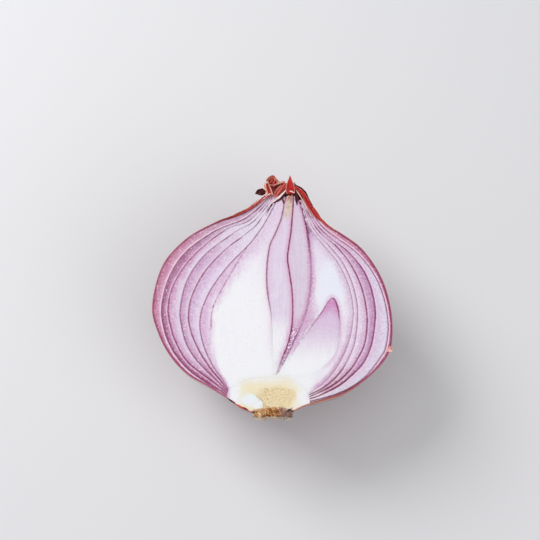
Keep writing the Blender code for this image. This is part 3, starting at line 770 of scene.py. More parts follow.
def crumple_skin(outer, along, around):
    """Lift the skin off the flesh in soft lengthwise waves, most of all by the neck."""
    draw = random.Random(12)
    waves = [(draw.uniform(9, 34), draw.uniform(0, math.tau), draw.uniform(-3, 3))
             for _ in range(9)]
    for i, share in enumerate(along):
        near_neck = max(0.0, (share - 0.72) / 0.28) ** 1.6
        middle = (outer[i, 0] + outer[i, -1]) / 2
        for j in range(1, len(around) - 1):
            turn = math.radians(around[j])
            wave = sum(math.sin(count * turn + phase + twist * share)
                       for count, phase, twist in waves) / 3
            lift = (0.03 + 0.30 * near_neck) * (1 + wave) * math.sin(turn) ** 0.5
            away = outer[i, j] - middle
            if outer[i, j, 2] > 0.5:
                outer[i, j] += away / np.linalg.norm(away) * lift


def raise_cut_edges(outer, inner, along):
    """Lift both cut edges of the skin unevenly over the cut face, most of all by the neck."""
    for edge in (0, -1):
        for i, share in enumerate(along):
            ragged = noise.noise(Vector((i * 0.31, edge * 5.0, 2.0)))
            lift = max(0.0, 0.06 + 0.22 * ragged) + 0.25 * max(0.0, share - 0.7)
            outer[i, edge, 2] += lift
            if i < len(inner):
                inner[i, edge, 2] += lift


def neck_cap(outer, inner):
    """Uneven rows that close the skin over the neck, sunk between its edges."""
    first = len(inner) - 1
    cap = []
    for i in range(first, len(outer)):
        left, right = outer[i, -1], outer[i, 0]
        shares = np.linspace(0.0, 1.0, CAP_COLUMNS)[:, None]
        if i == first:
            between = inner[i, -1] + shares * (inner[i, 0] - inner[i, -1])
        else:
            between = left + (0.03 + 0.94 * shares) * (right - left)
        for k in range(1, CAP_COLUMNS - 1):
            x, y = between[k, :2]
            sink = 0.0 if i == first else 1.1 * math.sin(math.pi * k / (CAP_COLUMNS - 1))
            between[k, 2] -= sink - 0.7 * noise.noise(Vector((x * 0.9, y * 0.5, 4.0)))
        cap.append(np.vstack([left, between, right]))
    return np.array(cap)


def dry_skin(paper):
    """The skin from the root scar round the back to the neck, with its withered strips."""
    outline = [smooth_line(side, ROWS) for side in LAYER_LINES[0]]
    sides = [np.vstack([root[:-1], side]) for root, side in zip(skin_root_lines(), outline)]
    neck = [smooth_line([side[-1], *given], NECK_ROWS)[1:]
            for given, side in zip(NECK_SIDES, outline)]
    outer = arches(*[np.vstack(pair) for pair in zip(sides, neck)], across=SKIN_ARCS, dip=0.0)
    inner = arches(*widen(*sides, -SKIN), floor=SKIN, across=SKIN_ARCS, dip=0.0)
    end = len(inner) - 1
    inner[end, :, 1] += 0.15
    outer[end, :, 1] += 0.15
    along = np.linspace(0.0, 1.0, len(outer))
    around = np.linspace(0.0, 180.0, SKIN_ARCS + 1)
    crumple_skin(outer, along, around)
    raise_cut_edges(outer, inner, along)

    patches = Patches()
    under, turn, tone = along[:end + 1, None], around[None, :], 0.34
    patches.grid(outer, along=along[:, None], around=turn, tone=tone)
    patches.grid(inner, along=under, around=turn, rim=SKIN, tone=tone)
    for edge in (0, -1):
        patches.grid(np.stack([outer[:end + 1, edge], inner[:, edge]], axis=1), along=under,
                     around=around[edge], rim=np.array([0.0, SKIN])[None, :], tone=tone)
    patches.grid(np.stack([outer[0], inner[0]]), along=0.0, around=turn, tone=tone)
    patches.grid(neck_cap(outer, inner), slot=1, along=along[end:, None], around=90.0, tone=0.16)
    patches.close(slot=1)
    for made in patches.mesh.faces:
        if made.calc_center_median().y > 39.5 * MM:
            made.material_index = 1

    strips = NECK_STRIPS + SKIN_BITS + shoulder_strips() + neck_back_strips()
    raised = [([(x, y, CUT_HEIGHT + height) for x, y, height in route], *rest)
              for route, *rest in strips]
    sizes = {"Sides": 14, "Thickness": 0.13, "Curl": -0.30, "Crumple": 0.34 * MM,
             "Crumple scale": 620.0, "Seed": 3}
    patches.take(made_by_nodes("neck_strips", paths(raised, 16), sizes, strip_nodes, paper), slot=1)
    return patches


# Node trees

def colour(red, green, blue):
    """A colour given as it looks on a screen, from 0 to 255."""
    shown = [c / 255 for c in (red, green, blue)]
    return (*[c / 12.92 if c <= 0.04045 else ((c + 0.055) / 1.055) ** 2.4 for c in shown], 1.0)


class Signal:
    """A node's output. Arithmetic on it adds Math nodes."""

    def __init__(self, tree, socket):
        self.tree = tree
        self.socket = socket

    def math(self, operation, *others, first=None):
        given = [self, *others] if first is None else [first, self]
        return self.tree.add("ShaderNodeMath", {"operation": operation}, dict(enumerate(given)))

    def __add__(self, other):
        return self.math("ADD", other)

    __radd__ = __add__

    def __sub__(self, other):
        return self.math("SUBTRACT", other)

    def __rsub__(self, other):
        return self.math("SUBTRACT", first=other)

    def __mul__(self, other):
        return self.math("MULTIPLY", other)

    __rmul__ = __mul__

    def __truediv__(self, other):
        return self.math("DIVIDE", other)

    def __rtruediv__(self, other):
        return self.math("DIVIDE", first=other)

    def __pow__(self, other):
        return self.math("POWER", other)

    def __abs__(self):
        return self.math("ABSOLUTE")

    def clip(self):
        return self.tree.add("ShaderNodeClamp", {}, {"Value": self})

    def step(self, low, high):
        """0 below low and 1 above high, smooth between them."""
        return self.tree.add("ShaderNodeMapRange", {"interpolation_type": "SMOOTHSTEP"},
                             {"Value": self, "From Min": low, "From Max": high})

    def fall(self, low, high):
        """1 below low and 0 above high, smooth between them."""
        return 1.0 - self.step(low, high)

    def fade(self, reach):
        """1 at nothing, falling away over a reach."""
        return (self * (-1 / reach)).math("EXPONENT")

    def painted(self, share, tint):
        """This colour with a share of another over it."""
        return self.tree.blend(share, self, tint)


class Tree:
    """A node tree with one way to add any node."""

    def __init__(self, tree):
        self.tree = tree

    def add(self, kind, settings=None, inputs=None, output=0):
        node = self.tree.nodes.new(kind)
        for name, value in (settings or {}).items():
            if name == "stops":
                ramp = node.color_ramp
                while len(ramp.elements) < len(value):
                    ramp.elements.new(0.5)
                for element, (place, tint) in zip(ramp.elements, value):
                    element.position = place
                    element.color = colour(*tint)
            else:
                setattr(node, name, value)
        for name, value in (inputs or {}).items():
            if isinstance(value, Signal):
                self.tree.links.new(value.socket, node.inputs[name])
            else:
                node.inputs[name].default_value = value
        return Signal(self, node.outputs[output])

    def place(self):
        """Where a point is, in metres."""
        return self.add("ShaderNodeTexCoord", output="Object")

    def values(self, *names):
        """Values that the points of a piece carry."""
        return [self.add("ShaderNodeAttribute", {"attribute_name": name}, output="Fac")
                for name in names]

    def axes(self, vector):
        return [self.add("ShaderNodeSeparateXYZ", {}, {0: vector}, output=k) for k in range(3)]

    def millimetres(self, vector):
        """The three axes of a place, in millimetres."""
        return self.axes(self.add("ShaderNodeVectorMath", {"operation": "SCALE"},
                                  {0: vector, "Scale": 1 / MM}))

    def joined(self, x, y, z=0.0):
        return self.add("ShaderNodeCombineXYZ", {}, {0: x, 1: y, 2: z})

    def cloud(self, vector, scale, detail=3.0, rough=0.5):
        """Soft noise of 0 to 1, about 0.5 in the middle."""
        return self.add("ShaderNodeTexNoise", {},
                        {"Vector": vector, "Scale": scale, "Detail": detail, "Roughness": rough})

    def cells(self, vector, scale):
        """0 in the middle of each cell, growing towards its border."""
        return self.add("ShaderNodeTexVoronoi", {"feature": "F1"},
                        {"Vector": vector, "Scale": scale}, output="Distance")

    def blend(self, share, first, second):
        """A mix of two colours, each a signal or three values as they look on a screen."""
        first, second = [tint if isinstance(tint, Signal) else colour(*tint)
                         for tint in (first, second)]
        return self.add("ShaderNodeMix", {"data_type": "RGBA"},
                        {0: share, 6: first, 7: second}, output=2)

    def bump(self, height, depth, strength):
        """A Bump node for a height of 0 to 1 that stands for a depth in millimetres."""
        return self.add("ShaderNodeBump", {},
                        {"Height": height, "Distance": depth * MM, "Strength": strength})


def new_finish(name, recipe, **constants):
    """A material whose changing inputs come from a recipe and whose constants stay on sockets."""
    made = bpy.data.materials.new(name)
    made.use_nodes = True
    shader = made.node_tree.nodes["Principled BSDF"]
    for socket, value in constants.items():
        shader.inputs[socket.replace("_", " ")].default_value = value
    tree = Tree(made.node_tree)
    for socket, signal in recipe(tree).items():
        made.node_tree.links.new(signal.socket, shader.inputs[socket.replace("_", " ")])
    return made


# Strips, fibres and beads made by Geometry Nodes

def paths(strips, steps):
    """A mesh of edges along smooth routes, with each strip's width, turn and tone."""
    points, edges = [], []
    values = {"width": [], "turn": [], "tone": []}
    share = np.linspace(0.0, 1.0, steps + 1)
    for route, widths, turn, tone in strips:
        start = len(points)
        points += [tuple(point) for point in smooth_line(route, steps) * MM]
        edges += [(start + i, start + i + 1) for i in range(steps)]
        values["width"] += list(np.interp(share, np.linspace(0, 1, len(widths)), widths) * MM)
        values["turn"] += [math.radians(turn)] * (steps + 1)
        values["tone"] += [tone] * (steps + 1)
    mesh = bpy.data.meshes.new("paths")
    mesh.from_pydata(points, edges, [])
    for name, given in values.items():
        mesh.attributes.new(name, "FLOAT", "POINT").data.foreach_set("value", given)
    return mesh


def named(tree, name):
    """A value that the points of a path carry."""
    return tree.add("GeometryNodeInputNamedAttribute", {"data_type": "FLOAT"}, {"Name": name})


def crumpled(tree, geometry, sizes):
    """Move points by a soft noise."""
    place = tree.add("GeometryNodeInputPosition")
    push = tree.add("ShaderNodeTexNoise", {"noise_dimensions": "4D"},
                    {"Vector": place, "W": sizes["Seed"], "Scale": sizes["Crumple scale"],
                     "Detail": 2.0}, output=1)
    centred = tree.add("ShaderNodeVectorMath", {"operation": "SUBTRACT"},
                       {0: push, 1: (0.5, 0.5, 0.5)})
    offset = tree.add("ShaderNodeVectorMath", {"operation": "SCALE"},
                      {0: centred, "Scale": sizes["Crumple"]})
    return tree.add("GeometryNodeSetPosition", {}, {0: geometry, "Offset": offset})


def strip_nodes(tree, sizes):
    """Sweep a thin curled strip along each path."""
    curve = tree.add("GeometryNodeMeshToCurve", {}, {0: sizes["Geometry"]})
    curve = tree.add("GeometryNodeSetCurveNormal", {"mode": "Z_UP"}, {0: curve})
    curve = tree.add("GeometryNodeSetCurveTilt", {}, {0: curve, "Tilt": named(tree, "turn")})
    curve = tree.add("GeometryNodeStoreNamedAttribute", {"data_type": "FLOAT", "domain": "POINT"},
                     {0: curve, "Name": "along", "Value": tree.add("GeometryNodeSplineParameter")})
    ring = tree.add("GeometryNodeCurvePrimitiveCircle", {},
                    {"Resolution": sizes["Sides"], "Radius": 1.0})
    across, thick, _ = tree.axes(tree.add("GeometryNodeInputPosition"))
    ring = tree.add("GeometryNodeStoreNamedAttribute", {"data_type": "FLOAT", "domain": "POINT"},
                    {0: ring, "Name": "rim", "Value": 1.0 - abs(across)})
    bent = tree.joined(across, thick * sizes["Thickness"] + across * across * sizes["Curl"])
    ring = tree.add("GeometryNodeSetPosition", {}, {0: ring, "Position": bent})
    swept = tree.add("GeometryNodeCurveToMesh", {},
                     {0: curve, 1: ring, "Scale": named(tree, "width"), "Fill Caps": True})
    return crumpled(tree, swept, sizes)


def bead_nodes(tree, sizes):
    """Put a rounded bead on each point."""
    bead = tree.add("GeometryNodeMeshIcoSphere", {}, {"Radius": 1.0, "Subdivisions": 2})
    width = named(tree, "width")
    scale = tree.joined(width, width, width * sizes["Flatness"])
    placed = tree.add("GeometryNodeInstanceOnPoints", {},
                      {0: sizes["Geometry"], "Instance": bead, "Scale": scale})
    real = tree.add("GeometryNodeRealizeInstances", {}, {0: placed})
    return crumpled(tree, real, sizes)


def made_by_nodes(name, base, sizes, grow, finish):
    """Run a tree of Geometry Nodes once on a mesh and keep what it makes as a plain mesh.

    sizes are the tree's named inputs, and grow adds the nodes between them and the result.
    """
    group = bpy.data.node_groups.new(name, "GeometryNodeTree")
    group.interface.new_socket("Geometry", in_out="INPUT", socket_type="NodeSocketGeometry")
    sockets = {}
    for label, value in sizes.items():
        kind = "NodeSocketInt" if isinstance(value, int) else "NodeSocketFloat"
        sockets[label] = group.interface.new_socket(label, in_out="INPUT", socket_type=kind)
    group.interface.new_socket("Geometry", in_out="OUTPUT", socket_type="NodeSocketGeometry")
    tree = Tree(group)
    given = group.nodes.new("NodeGroupInput").outputs
    grown = grow(tree, {label: Signal(tree, given[label]) for label in ("Geometry", *sizes)})
    real = tree.add("GeometryNodeRealizeInstances", {}, {0: grown})
    coated = tree.add("GeometryNodeSetMaterial", {}, {0: real, "Material": finish})
    group.links.new(coated.socket, group.nodes.new("NodeGroupOutput").inputs[0])

    holder = bpy.data.objects.new(name, base)
    bpy.context.scene.collection.objects.link(holder)
    modifier = holder.modifiers.new(name, "NODES")
    modifier.node_group = group
    for label, value in sizes.items():
        modifier[sockets[label].identifier] = value
    evaluated = holder.evaluated_get(bpy.context.evaluated_depsgraph_get())
    mesh = bpy.data.meshes.new_from_object(evaluated)
    holder.modifiers.clear()
    bpy.data.objects.remove(holder)
    return mesh


# Finishes

WET = dict(Subsurface_Weight=0.12, Subsurface_Scale=0.0015, Subsurface_Radius=(1.0, 0.55, 0.6),
           Coat_Weight=0.30, Coat_Roughness=0.14, Specular_IOR_Level=0.5)

# Colours as they look on a screen, from 0 to 255
WHITE = (243, 243, 246)
CREAM = (240, 224, 188)
MAGENTA = (164, 72, 124)
EDGE_INK = (140, 48, 106)
JUICE = (252, 232, 246)
CENTRE_INKS = ((160, 66, 124), (126, 26, 88))


def wet_surface(tree, place, height=0.0):
    """Roughness and bump of cut flesh: fine cells, a few smears and specks of juice."""
    grain = tree.cloud(place, 1500.0, 3.0, 0.6)
    cells = tree.cells(place, 2600.0)
    smear = tree.cloud(place, 160.0, 3.0)
    rough = 0.30 + 0.25 * (smear - 0.5) + 0.18 * (grain - 0.5)
    bump = tree.bump(grain * 0.6 + cells * 0.4 + height, 0.09, 0.55)
    return {"Roughness": rough.clip(), "Normal": bump}


def root_cream(tree, place, base):
    """Flesh that turns white and then cream towards the stem disc."""
    across, up, _ = tree.millimetres(place)
    wander = tree.cloud(place, 150.0, 4.0, 0.6) - 0.5
    down = (up + wander * 5.0).fall(-22.0, -14.0)
    inward = abs(across - 0.4 + wander * 4.0).fall(11.0, 15.5)
    whitened = tree.blend(down * inward * 0.95, base, WHITE)
    low = (up + wander * 5.0).fall(-26.5, -21.0)
    middle = abs(across + 1.8 + wander * 3.0).fall(6.0, 11.5)
    return whitened.painted(low * middle * 0.8, CREAM)


def speckled(shade, grain, light, dark):
    """Bright and dark points of juice and broken cells; the bright ones partly painted glints."""
    # Bright points: partly pale juice and cells, partly painted sparkle highlights
    shade = shade.painted(grain.step(0.52, 0.66) * light, (250, 240, 250))
    return shade.painted(grain.fall(0.34, 0.45) * dark, (150, 62, 116))


def scale_recipe(left, right, lines, highlight_strength, torn):
    """A cut scale. Each side has colours for its outer and inner part, its root and its neck.

    lines gives the strength of the lines along its outer edge and its inner edge, on each side.
    Next comes the strength of the pale stripe beside its inner edge, a painted highlight, and torn
    gives that of the red skin that clings to its outer edge by the neck.
    """
    def recipe(tree):
        place = tree.place()
        rim, inner, along = tree.values("rim", "inner", "along")
        side = tree.millimetres(place)[0].step(-3.0, 3.0)
        outside, inside, root, neck = [tree.blend(side, *pair) for pair in zip(left, right)]
        streaks = tree.cloud(tree.joined(rim * 1.5, along * 9.0, 0.0), 2.2, 4.0, 0.65)
        patches = tree.cloud(place, 320.0, 4.0, 0.62)
        grain = tree.cloud(place, 1500.0, 3.0, 0.75)
        share = rim / (rim + inner + 0.01) + (streaks - 0.5) + (patches - 0.5) * 0.7
        shade = tree.blend(share.step(0.05, 0.95), outside, inside)
        low = (along + (patches - 0.5) * 0.10).fall(0.04, 0.26)
        shade = shade.painted(low * 0.92, root)
        grown = (along + (patches - 0.5) * 0.04).fall(0.01, 0.09) * (0.60 + side * 0.4)
        shade = shade.painted(grown, tree.blend(side, (206, 140, 182), (238, 222, 236)))
        high = (along + (patches - 0.5) * 0.12).step(0.58, 0.84)
        shade = shade.painted(high * 0.85, neck)
        # A pale stripe beside the inner edge: a painted highlight
        pale = abs(inner - 0.50).fall(0.08, 0.36) * highlight_strength
        shade = shade.painted(pale * (0.2 + 1.6 * patches), (240, 208, 226))
        depth = share.fall(0.1, 0.8)
        shade = speckled(shade, grain, 0.42, 0.12 + depth * 0.22)

        wobble = (tree.cloud(place, 800.0, 2.0) - 0.5) * 0.36
        broken = tree.cloud(tree.joined(along * 46.0, rim * 0.5, 5.0), 1.0, 3.0, 0.7)
        ink = tree.blend(along.step(0.60, 0.95), (142, 44, 102), (112, 44, 92))
        dashes = tree.cloud(tree.joined(along * 17.0, rim * 0.3, 8.0), 1.0, 2.0).step(0.44, 0.60)
        kept = 1.0 - along.step(0.62, 0.80) * (1.0 - dashes) * 0.95
        kept = kept * (1.0 - along.fall(0.03, 0.11) * side * 0.92)
        for distance, pair, reach in ((rim, lines[0], 0.56), (inner, lines[1], 0.34)):
            strength = pair[0] + side * (pair[1] - pair[0])
            stroke = (distance + wobble).fall(0.06, reach) * (0.35 + 1.2 * broken)
            shade = shade.painted(stroke * strength * kept, ink)
        walls = rim.fall(0.0, 0.05) + inner.fall(0.0, 0.05)
        shade = shade.painted(walls * 0.75, EDGE_INK)
        # Bright specks just inside the outer edge's line: painted sparkle highlights, which also
        # lift the bump a little
        bead = grain.step(0.60, 0.68) * abs(rim - 0.6).fall(0.1, 0.5)
        shade = shade.painted(bead * 0.7, (253, 236, 246))
        result = wet_surface(tree, place, bead * 0.8)
        result["Base Color"] = torn_edge(tree, place, rim, along, side, shade, torn)
        return result
    return recipe


def torn_edge(tree, place, rim, along, side, shade, torn):
    """Red edges that the dry skin leaves on a cut scale's own outer edge."""
    rough = (tree.cloud(place, 500.0, 3.0, 0.6) - 0.5) * 0.5
    near = (rim + rough).fall(0.15, 0.55)
    low_right = side * along.fall(0.16, 0.24)
    high = along.step(0.70, 0.80)
    return shade.painted(near * (low_right + high * torn) * 0.9, (112, 22, 30))


def inner_recipe(tree):
    """The white flesh round the centre, blushing along its edges."""
    place = tree.place()
    rim, faint, pocket, bud, mark = tree.values("rim", "inner", "pocket", "bud", "mark")
    across, up, _ = tree.millimetres(place)
    patches = tree.cloud(place, 210.0, 4.0, 0.6)
    flow = tree.cloud(tree.joined(across * 0.42, up * 0.06, 0.0), 1.6, 4.0, 0.62)
    grain = tree.cloud(place, 1500.0, 3.0, 0.75)
    ragged = (flow - 0.5) * 0.9 + (patches - 0.5) * 0.7
    right = across.step(4.0, 9.0)
    left = 1.0 - right
    tint = up.step(4.0, 30.0) * 0.80 + right * 0.45 + (flow - 0.5) * 0.8
    shade = tree.blend(tint, WHITE, (230, 221, 237))
    glow = ((across - 20.5) / 4.5) ** 2.0 + ((up - 9.0) / 10.0) ** 2.0
    shade = shade.painted(glow.fall(0.2, 1.5) * 0.9, (234, 237, 249))

    reach = 1.5 + up.step(-22.0, -4.0) * (5.2 - right * 3.2)
    blush = (rim / reach + ragged).fall(0.05, 1.0) * (1.0 - 0.45 * up.step(12.0, 30.0))
    shade = shade.painted(blush * (0.95 - right * 0.25), (216, 178, 212))
    bundle = (rim + ragged * 2.0).fall(0.3, 2.2) * right * up.fall(-15.0, 2.0)
    shade = shade.painted(bundle * 0.55, (200, 140, 184))
    wide = 2.4 + 4.2 * up.fall(-3.0, 7.0)
    band = (pocket / wide + ragged).fall(0.05, 1.0) * right * up.step(-23.0, -15.0)
    shade = shade.painted(band * 0.95, (208, 164, 202))
    beside = pocket.fade(1.1) * left * up.step(-20.0, -6.0) * 0.55
    shade = shade.painted(beside, (224, 178, 208))
    bud_side = across.step(16.0, 20.0)
    round_bud = (bud / 2.0 + ragged * 0.8).fall(0.1, 1.0) * bud_side * 0.7
    shade = shade.painted(round_bud, (224, 184, 216))
    dusky = (mark / 2.2 + ragged).fall(0.1, 1.0) * 0.7
    shade = shade.painted(dusky, (198, 156, 190))
    tinted = (blush + band + 0.12).clip()
    shade = speckled(shade, grain, 0.30, 0.30 * tinted)

    wobble = (tree.cloud(place, 750.0, 3.0) - 0.5) * 0.36
    broken = tree.cloud(tree.joined(across * 0.3, up * 0.7, 3.0), 1.0, 3.0, 0.7)
    ink = tree.blend(up.step(14.0, 36.0), (148, 56, 110), (96, 26, 66))

    def stroke(distance, low, high, strength):
        return ((distance + wobble).fall(low, high) * (0.3 + broken) * strength).clip()

    dashes = tree.cloud(tree.joined(up * 0.9, across * 0.2, 9.0), 1.0, 2.0).step(0.40, 0.60)
    shade = shade.painted(stroke(faint, 0.03, 0.40, 0.55 + dashes * 0.6), (178, 98, 152))
    outer = (0.35 + 0.6 * up.step(-26.0, -14.0)) * (1.0 - right * 0.62)
    shade = shade.painted(stroke(rim, 0.06, 0.44, outer), ink)
    walls = rim.fall(0.0, 0.05) * up.step(-24.0, -14.0)
    shade = shade.painted(walls * 0.75, EDGE_INK)
    upper = up.step(-6.0, 8.0)
    shade = shade.painted(stroke(pocket, 0.06, 0.46, left * upper * 0.95), ink)
    cleft_side = up.step(-23.5, -20.0)
    dark = 0.50 + up.step(17.0, 27.0) * 0.9
    pink = tree.blend(up.step(14.0, 30.0), *CENTRE_INKS)
    shade = shade.painted(stroke(pocket, 0.10, 0.62, right * cleft_side * dark), pink)
    tip = up.step(-12.0, 2.0)
    strong = 0.50 + 0.8 * across.step(20.4, 21.8) * up.step(-3.0, 0.0)
    shade = shade.painted(stroke(bud, 0.05, 0.42, tip * strong), (150, 54, 112))
    shade = shade.painted(stroke(mark, 0.05, 0.36, 0.95), (104, 34, 76))
    dots = grain.step(0.57, 0.64) * pocket.fade(0.7) * right * up.step(-23.0, -18.0)
    shade = shade.painted(dots * 0.9, JUICE)
    result = wet_surface(tree, place, dots.clip())
    result["Base Color"] = root_cream(tree, place, shade)
    return result


def leaf_recipe(is_right):
    """A centre leaf: the left one ends in a cream tip, the right one in a wet cleft at its foot."""
    def recipe(tree):
        place = tree.place()
        rim, inner = tree.values("rim", "inner")
        across, up, _ = tree.millimetres(place)
        streaks = tree.cloud(tree.joined(across * 1.1, up * 0.09, 1.0), 1.3, 4.0, 0.62)
        patches = tree.cloud(place, 300.0, 4.0, 0.6)
        grain = tree.cloud(place, 2100.0, 3.0, 0.7)
        broken = tree.cloud(tree.joined(across * 0.3, up * 0.7, 3.0), 1.0, 3.0, 0.7)
        wobble = (tree.cloud(place, 700.0, 3.0) - 0.5) * 0.34
        ragged = (streaks - 0.5) * 1.2 + (patches - 0.5) * 0.6
        foot = (up + ragged * 3.0).fall(-9.0, 0.0)
        if is_right:
            shade = tree.blend(0.5 + ragged, (226, 216, 230), (210, 188, 212))
            wash = (inner / 1.9 + ragged).fall(0.05, 1.0)
            shade = shade.painted(wash * 0.85, (205, 148, 188))
            shade = shade.painted(foot * 0.9, (214, 156, 200))
        else:
            shade = tree.blend(0.45 + ragged, (234, 226, 240), (214, 190, 218))
            shade = shade.painted(foot * 0.95, WHITE)
            wash = (inner / (1.6 + foot * 0.8) + ragged).fall(0.05, 1.0)
            shade = shade.painted(wash * 0.8, (218, 176, 208))
            tip = (up + ragged * 4.0).step(31.0, 37.0)
            tip = tip * (0.55 + rim.step(0.3, 1.6) * 0.45)
            shade = shade.painted(tip * 0.95, (216, 206, 166))
            dark = tip * grain.fall(0.36, 0.50) * 0.6
            shade = shade.painted(dark, (120, 98, 72))
        shade = shade.painted(grain.step(0.50, 0.72) * 0.30, WHITE)
        shade = shade.painted(grain.fall(0.30, 0.44) * wash * 0.4, MAGENTA)

        ink = tree.blend(up.step(4.0, 20.0), (158, 48, 112), (132, 14, 82))
        outer, middle = (inner, rim) if is_right else (rim, inner)
        centre = (middle + wobble).fall(0.06, 0.40) * (0.5 + broken)
        centre = centre * (up + 24.0).step(0.0, 4.0)
        shade = shade.painted(centre * 1.1, ink)
        glow = middle.fade(0.9) * 0.55 * up.step(-18.0, -4.0)
        shade = shade.painted(glow * (1.0 - centre), (214, 150, 192))
        if is_right:
            speckled_line = (outer + wobble).fall(0.10, 0.66) * (0.25 + broken)
            faded = 0.50 + up.step(17.0, 27.0) * 0.9
            pink = tree.blend(up.step(14.0, 30.0), *CENTRE_INKS)
            shade = shade.painted(speckled_line * faded, pink)
            beads = (grain.step(0.57, 0.64) * outer.fade(0.6) * 0.9).clip()
            shade = shade.painted(beads, JUICE)
        else:
            upper = up.step(-6.0, 8.0)
            shade = shade.painted(outer.fade(1.0) * upper * 0.5, (214, 150, 192))
            side = (outer + wobble).fall(0.05, 0.46) * (0.3 + broken) * upper
            shade = shade.painted(side, (146, 44, 106))
        result = wet_surface(tree, place, (grain.step(0.5, 0.7) * foot).clip())
        result["Base Color"] = root_cream(tree, place, shade)
        return result
    return recipe


def bud_recipe(tree):
    """The side bud: magenta pink at its tip, white at its foot."""
    place = tree.place()
    rim, inner = tree.values("rim", "inner")
    across, up, _ = tree.millimetres(place)
    streaks = tree.cloud(tree.joined(across * 1.2, up * 0.12, 4.0), 1.3, 4.0, 0.62)
    grain = tree.cloud(place, 1500.0, 3.0, 0.75)
    ragged = (streaks - 0.5) * 8.0
    body = (up + ragged).step(-19.0, -4.0)
    shade = tree.blend(body, WHITE, (220, 196, 222))
    middle = (rim - inner) * 0.28
    tip = (up + ragged * 0.4 + abs(middle) * 0.8).step(-2.5, 4.0)
    shade = shade.painted(tip * 0.85, (206, 118, 184))
    edge = (rim.fade(0.9) * 0.6 + inner.fade(0.8) * 0.5) * up.step(-14.0, 0.0)
    shade = shade.painted(edge, (196, 120, 168))
    dashes = tree.cloud(tree.joined(up * 0.9, across * 0.2, 2.0), 1.0, 2.0).step(0.40, 0.58)
    left_line = rim.fall(0.08, 0.40) * (0.3 + 0.7 * dashes) * up.step(-14.0, -2.0)
    line = inner.fall(0.10, 0.42) * up.step(-4.0, -0.5) + left_line
    shade = shade.painted(line * 0.9, (140, 46, 100))
    shade = shade.painted(grain.step(0.50, 0.72) * 0.30, WHITE)
    result = wet_surface(tree, place)
    result["Base Color"] = root_cream(tree, place, shade)
    return result


def plate_recipe(tree):
    """Dense cream stem tissue with grains, darker specks and a white patch."""
    place = tree.place()
    across, up, _ = tree.millimetres(place)
    clouds = tree.cloud(place, 240.0, 4.0, 0.6)
    fine = tree.cloud(place, 1500.0, 3.0, 0.7)
    grains = tree.cells(place, 1350.0)
    ragged = (clouds - 0.5) * 5.0
    shade = root_cream(tree, place, WHITE)
    yolk = abs(across + 1.0) + ragged
    low = (up + ragged * 0.5).fall(-27.0, -23.5)
    shade = shade.painted(yolk.fall(8.0, 12.0) * low * 0.7, (240, 230, 192))
    heart = ((across - 0.9) / 7.6) ** 2.0 + ((up + 30.1) / 4.4) ** 2.0 + (clouds - 0.5) * 1.4
    heart = heart.fall(0.55, 1.15)
    shade = shade.painted(heart * 0.85, (234, 212, 166))
    shade = shade.painted(heart * grains.fall(0.10, 0.45) * 0.6, (240, 224, 176))
    dusty = heart * (0.45 + 0.5 * (across + ragged * 0.3).fall(-3.0, 1.5))
    shade = shade.painted(dusty * fine.fall(0.36, 0.49), (180, 142, 94))
    shade = shade.painted(heart * fine.step(0.56, 0.70) * 0.6, (250, 240, 212))
    flank = up.step(-31.4, -30.0) * up.fall(-27.6, -25.6)
    left_flank = flank * (across + ragged * 0.12).fall(-15.4, -13.6) * 0.75
    shade = shade.painted(left_flank, (214, 160, 196))
    right_flank = flank * (across + ragged * 0.2).step(10.2, 13.0) * 0.45
    shade = shade.painted(right_flank, (226, 196, 220))
    rough_edge = tree.cloud(place, 560.0, 3.0, 0.6) - 0.5
    spot = ((across + 7.2) / 3.5) ** 2.0 + ((up + 31.0 + (across + 7.2) * 0.30) / 2.7) ** 2.0
    spot = spot + (clouds - 0.5) * 2.6 + rough_edge * 2.2
    rim = abs(spot - 1.05).fall(0.05, 0.35) * (across + 5.5).step(-1.0, 1.0)
    shade = shade.painted(rim * 0.6, (170, 134, 98))
    shade = shade.painted(spot.fall(0.30, 1.30), (238, 242, 247))
    dry = (up + ((across - 0.6) / 6.4) ** 2.0 - ragged * 0.24).fall(-33.4, -32.7)
    rusty = tree.blend(fine.step(0.40, 0.60), (142, 78, 38), (228, 176, 120))
    rusty = tree.blend((across + ragged * 0.4).step(1.5, 4.5) * 0.75, rusty, (158, 134, 138))
    shade = shade.painted(dry * 0.9, rusty)
    bump = tree.bump(grains * 0.7 + fine * 0.6, 0.16, 0.8)
    return {"Base Color": shade, "Roughness": (0.40 + 0.3 * (fine - 0.5)).clip(), "Normal": bump}


def cork_recipe(tree):
    """The dry root scar: straw fibres on one side, rusty in the middle, grey at the other."""
    place = tree.place()
    across, up, _ = tree.millimetres(place)
    [tone] = tree.values("tone")
    clouds = tree.cloud(place, 520.0, 4.0, 0.65)
    fine = tree.cloud(place, 1700.0, 3.0, 0.7)
    shade = tree.add("ShaderNodeValToRGB",
                     {"stops": [(0.0, (66, 34, 20)), (0.30, (140, 76, 34)),
                                (0.50, (190, 118, 62)), (0.75, (222, 178, 120)),
                                (1.0, (240, 218, 178))]},
                     {0: (0.25 + tone * 0.65 + (clouds - 0.5) * 1.1).clip()})
    grey = (across + (clouds - 0.5) * 5.0).step(1.0, 4.5) * (1.0 - fine.step(0.52, 0.7) * 0.6)
    shade = shade.painted(grey * 0.7, (146, 120, 124))
    lip = (up - (clouds - 0.5) * 0.8).fall(-36.8, -36.2)
    shade = shade.painted(lip * 0.8, (240, 228, 206))
    # The hole's near-black maroon is painted shade in the pit
    hole = ((across - HOLE[0]) / 0.9) ** 2.0 + ((up - HOLE[1]) / 0.62) ** 2.0
    shade = shade.painted(hole.fall(0.4, 1.1), (58, 10, 14))
    shade = shade.painted(fine.fall(0.34, 0.46) * 0.6, (62, 36, 24))
    return {"Base Color": shade, "Roughness": (0.75 + 0.2 * (clouds - 0.5)).clip(),
            "Normal": tree.bump(fine * 0.7 + clouds * 0.5, 0.30, 0.9)}


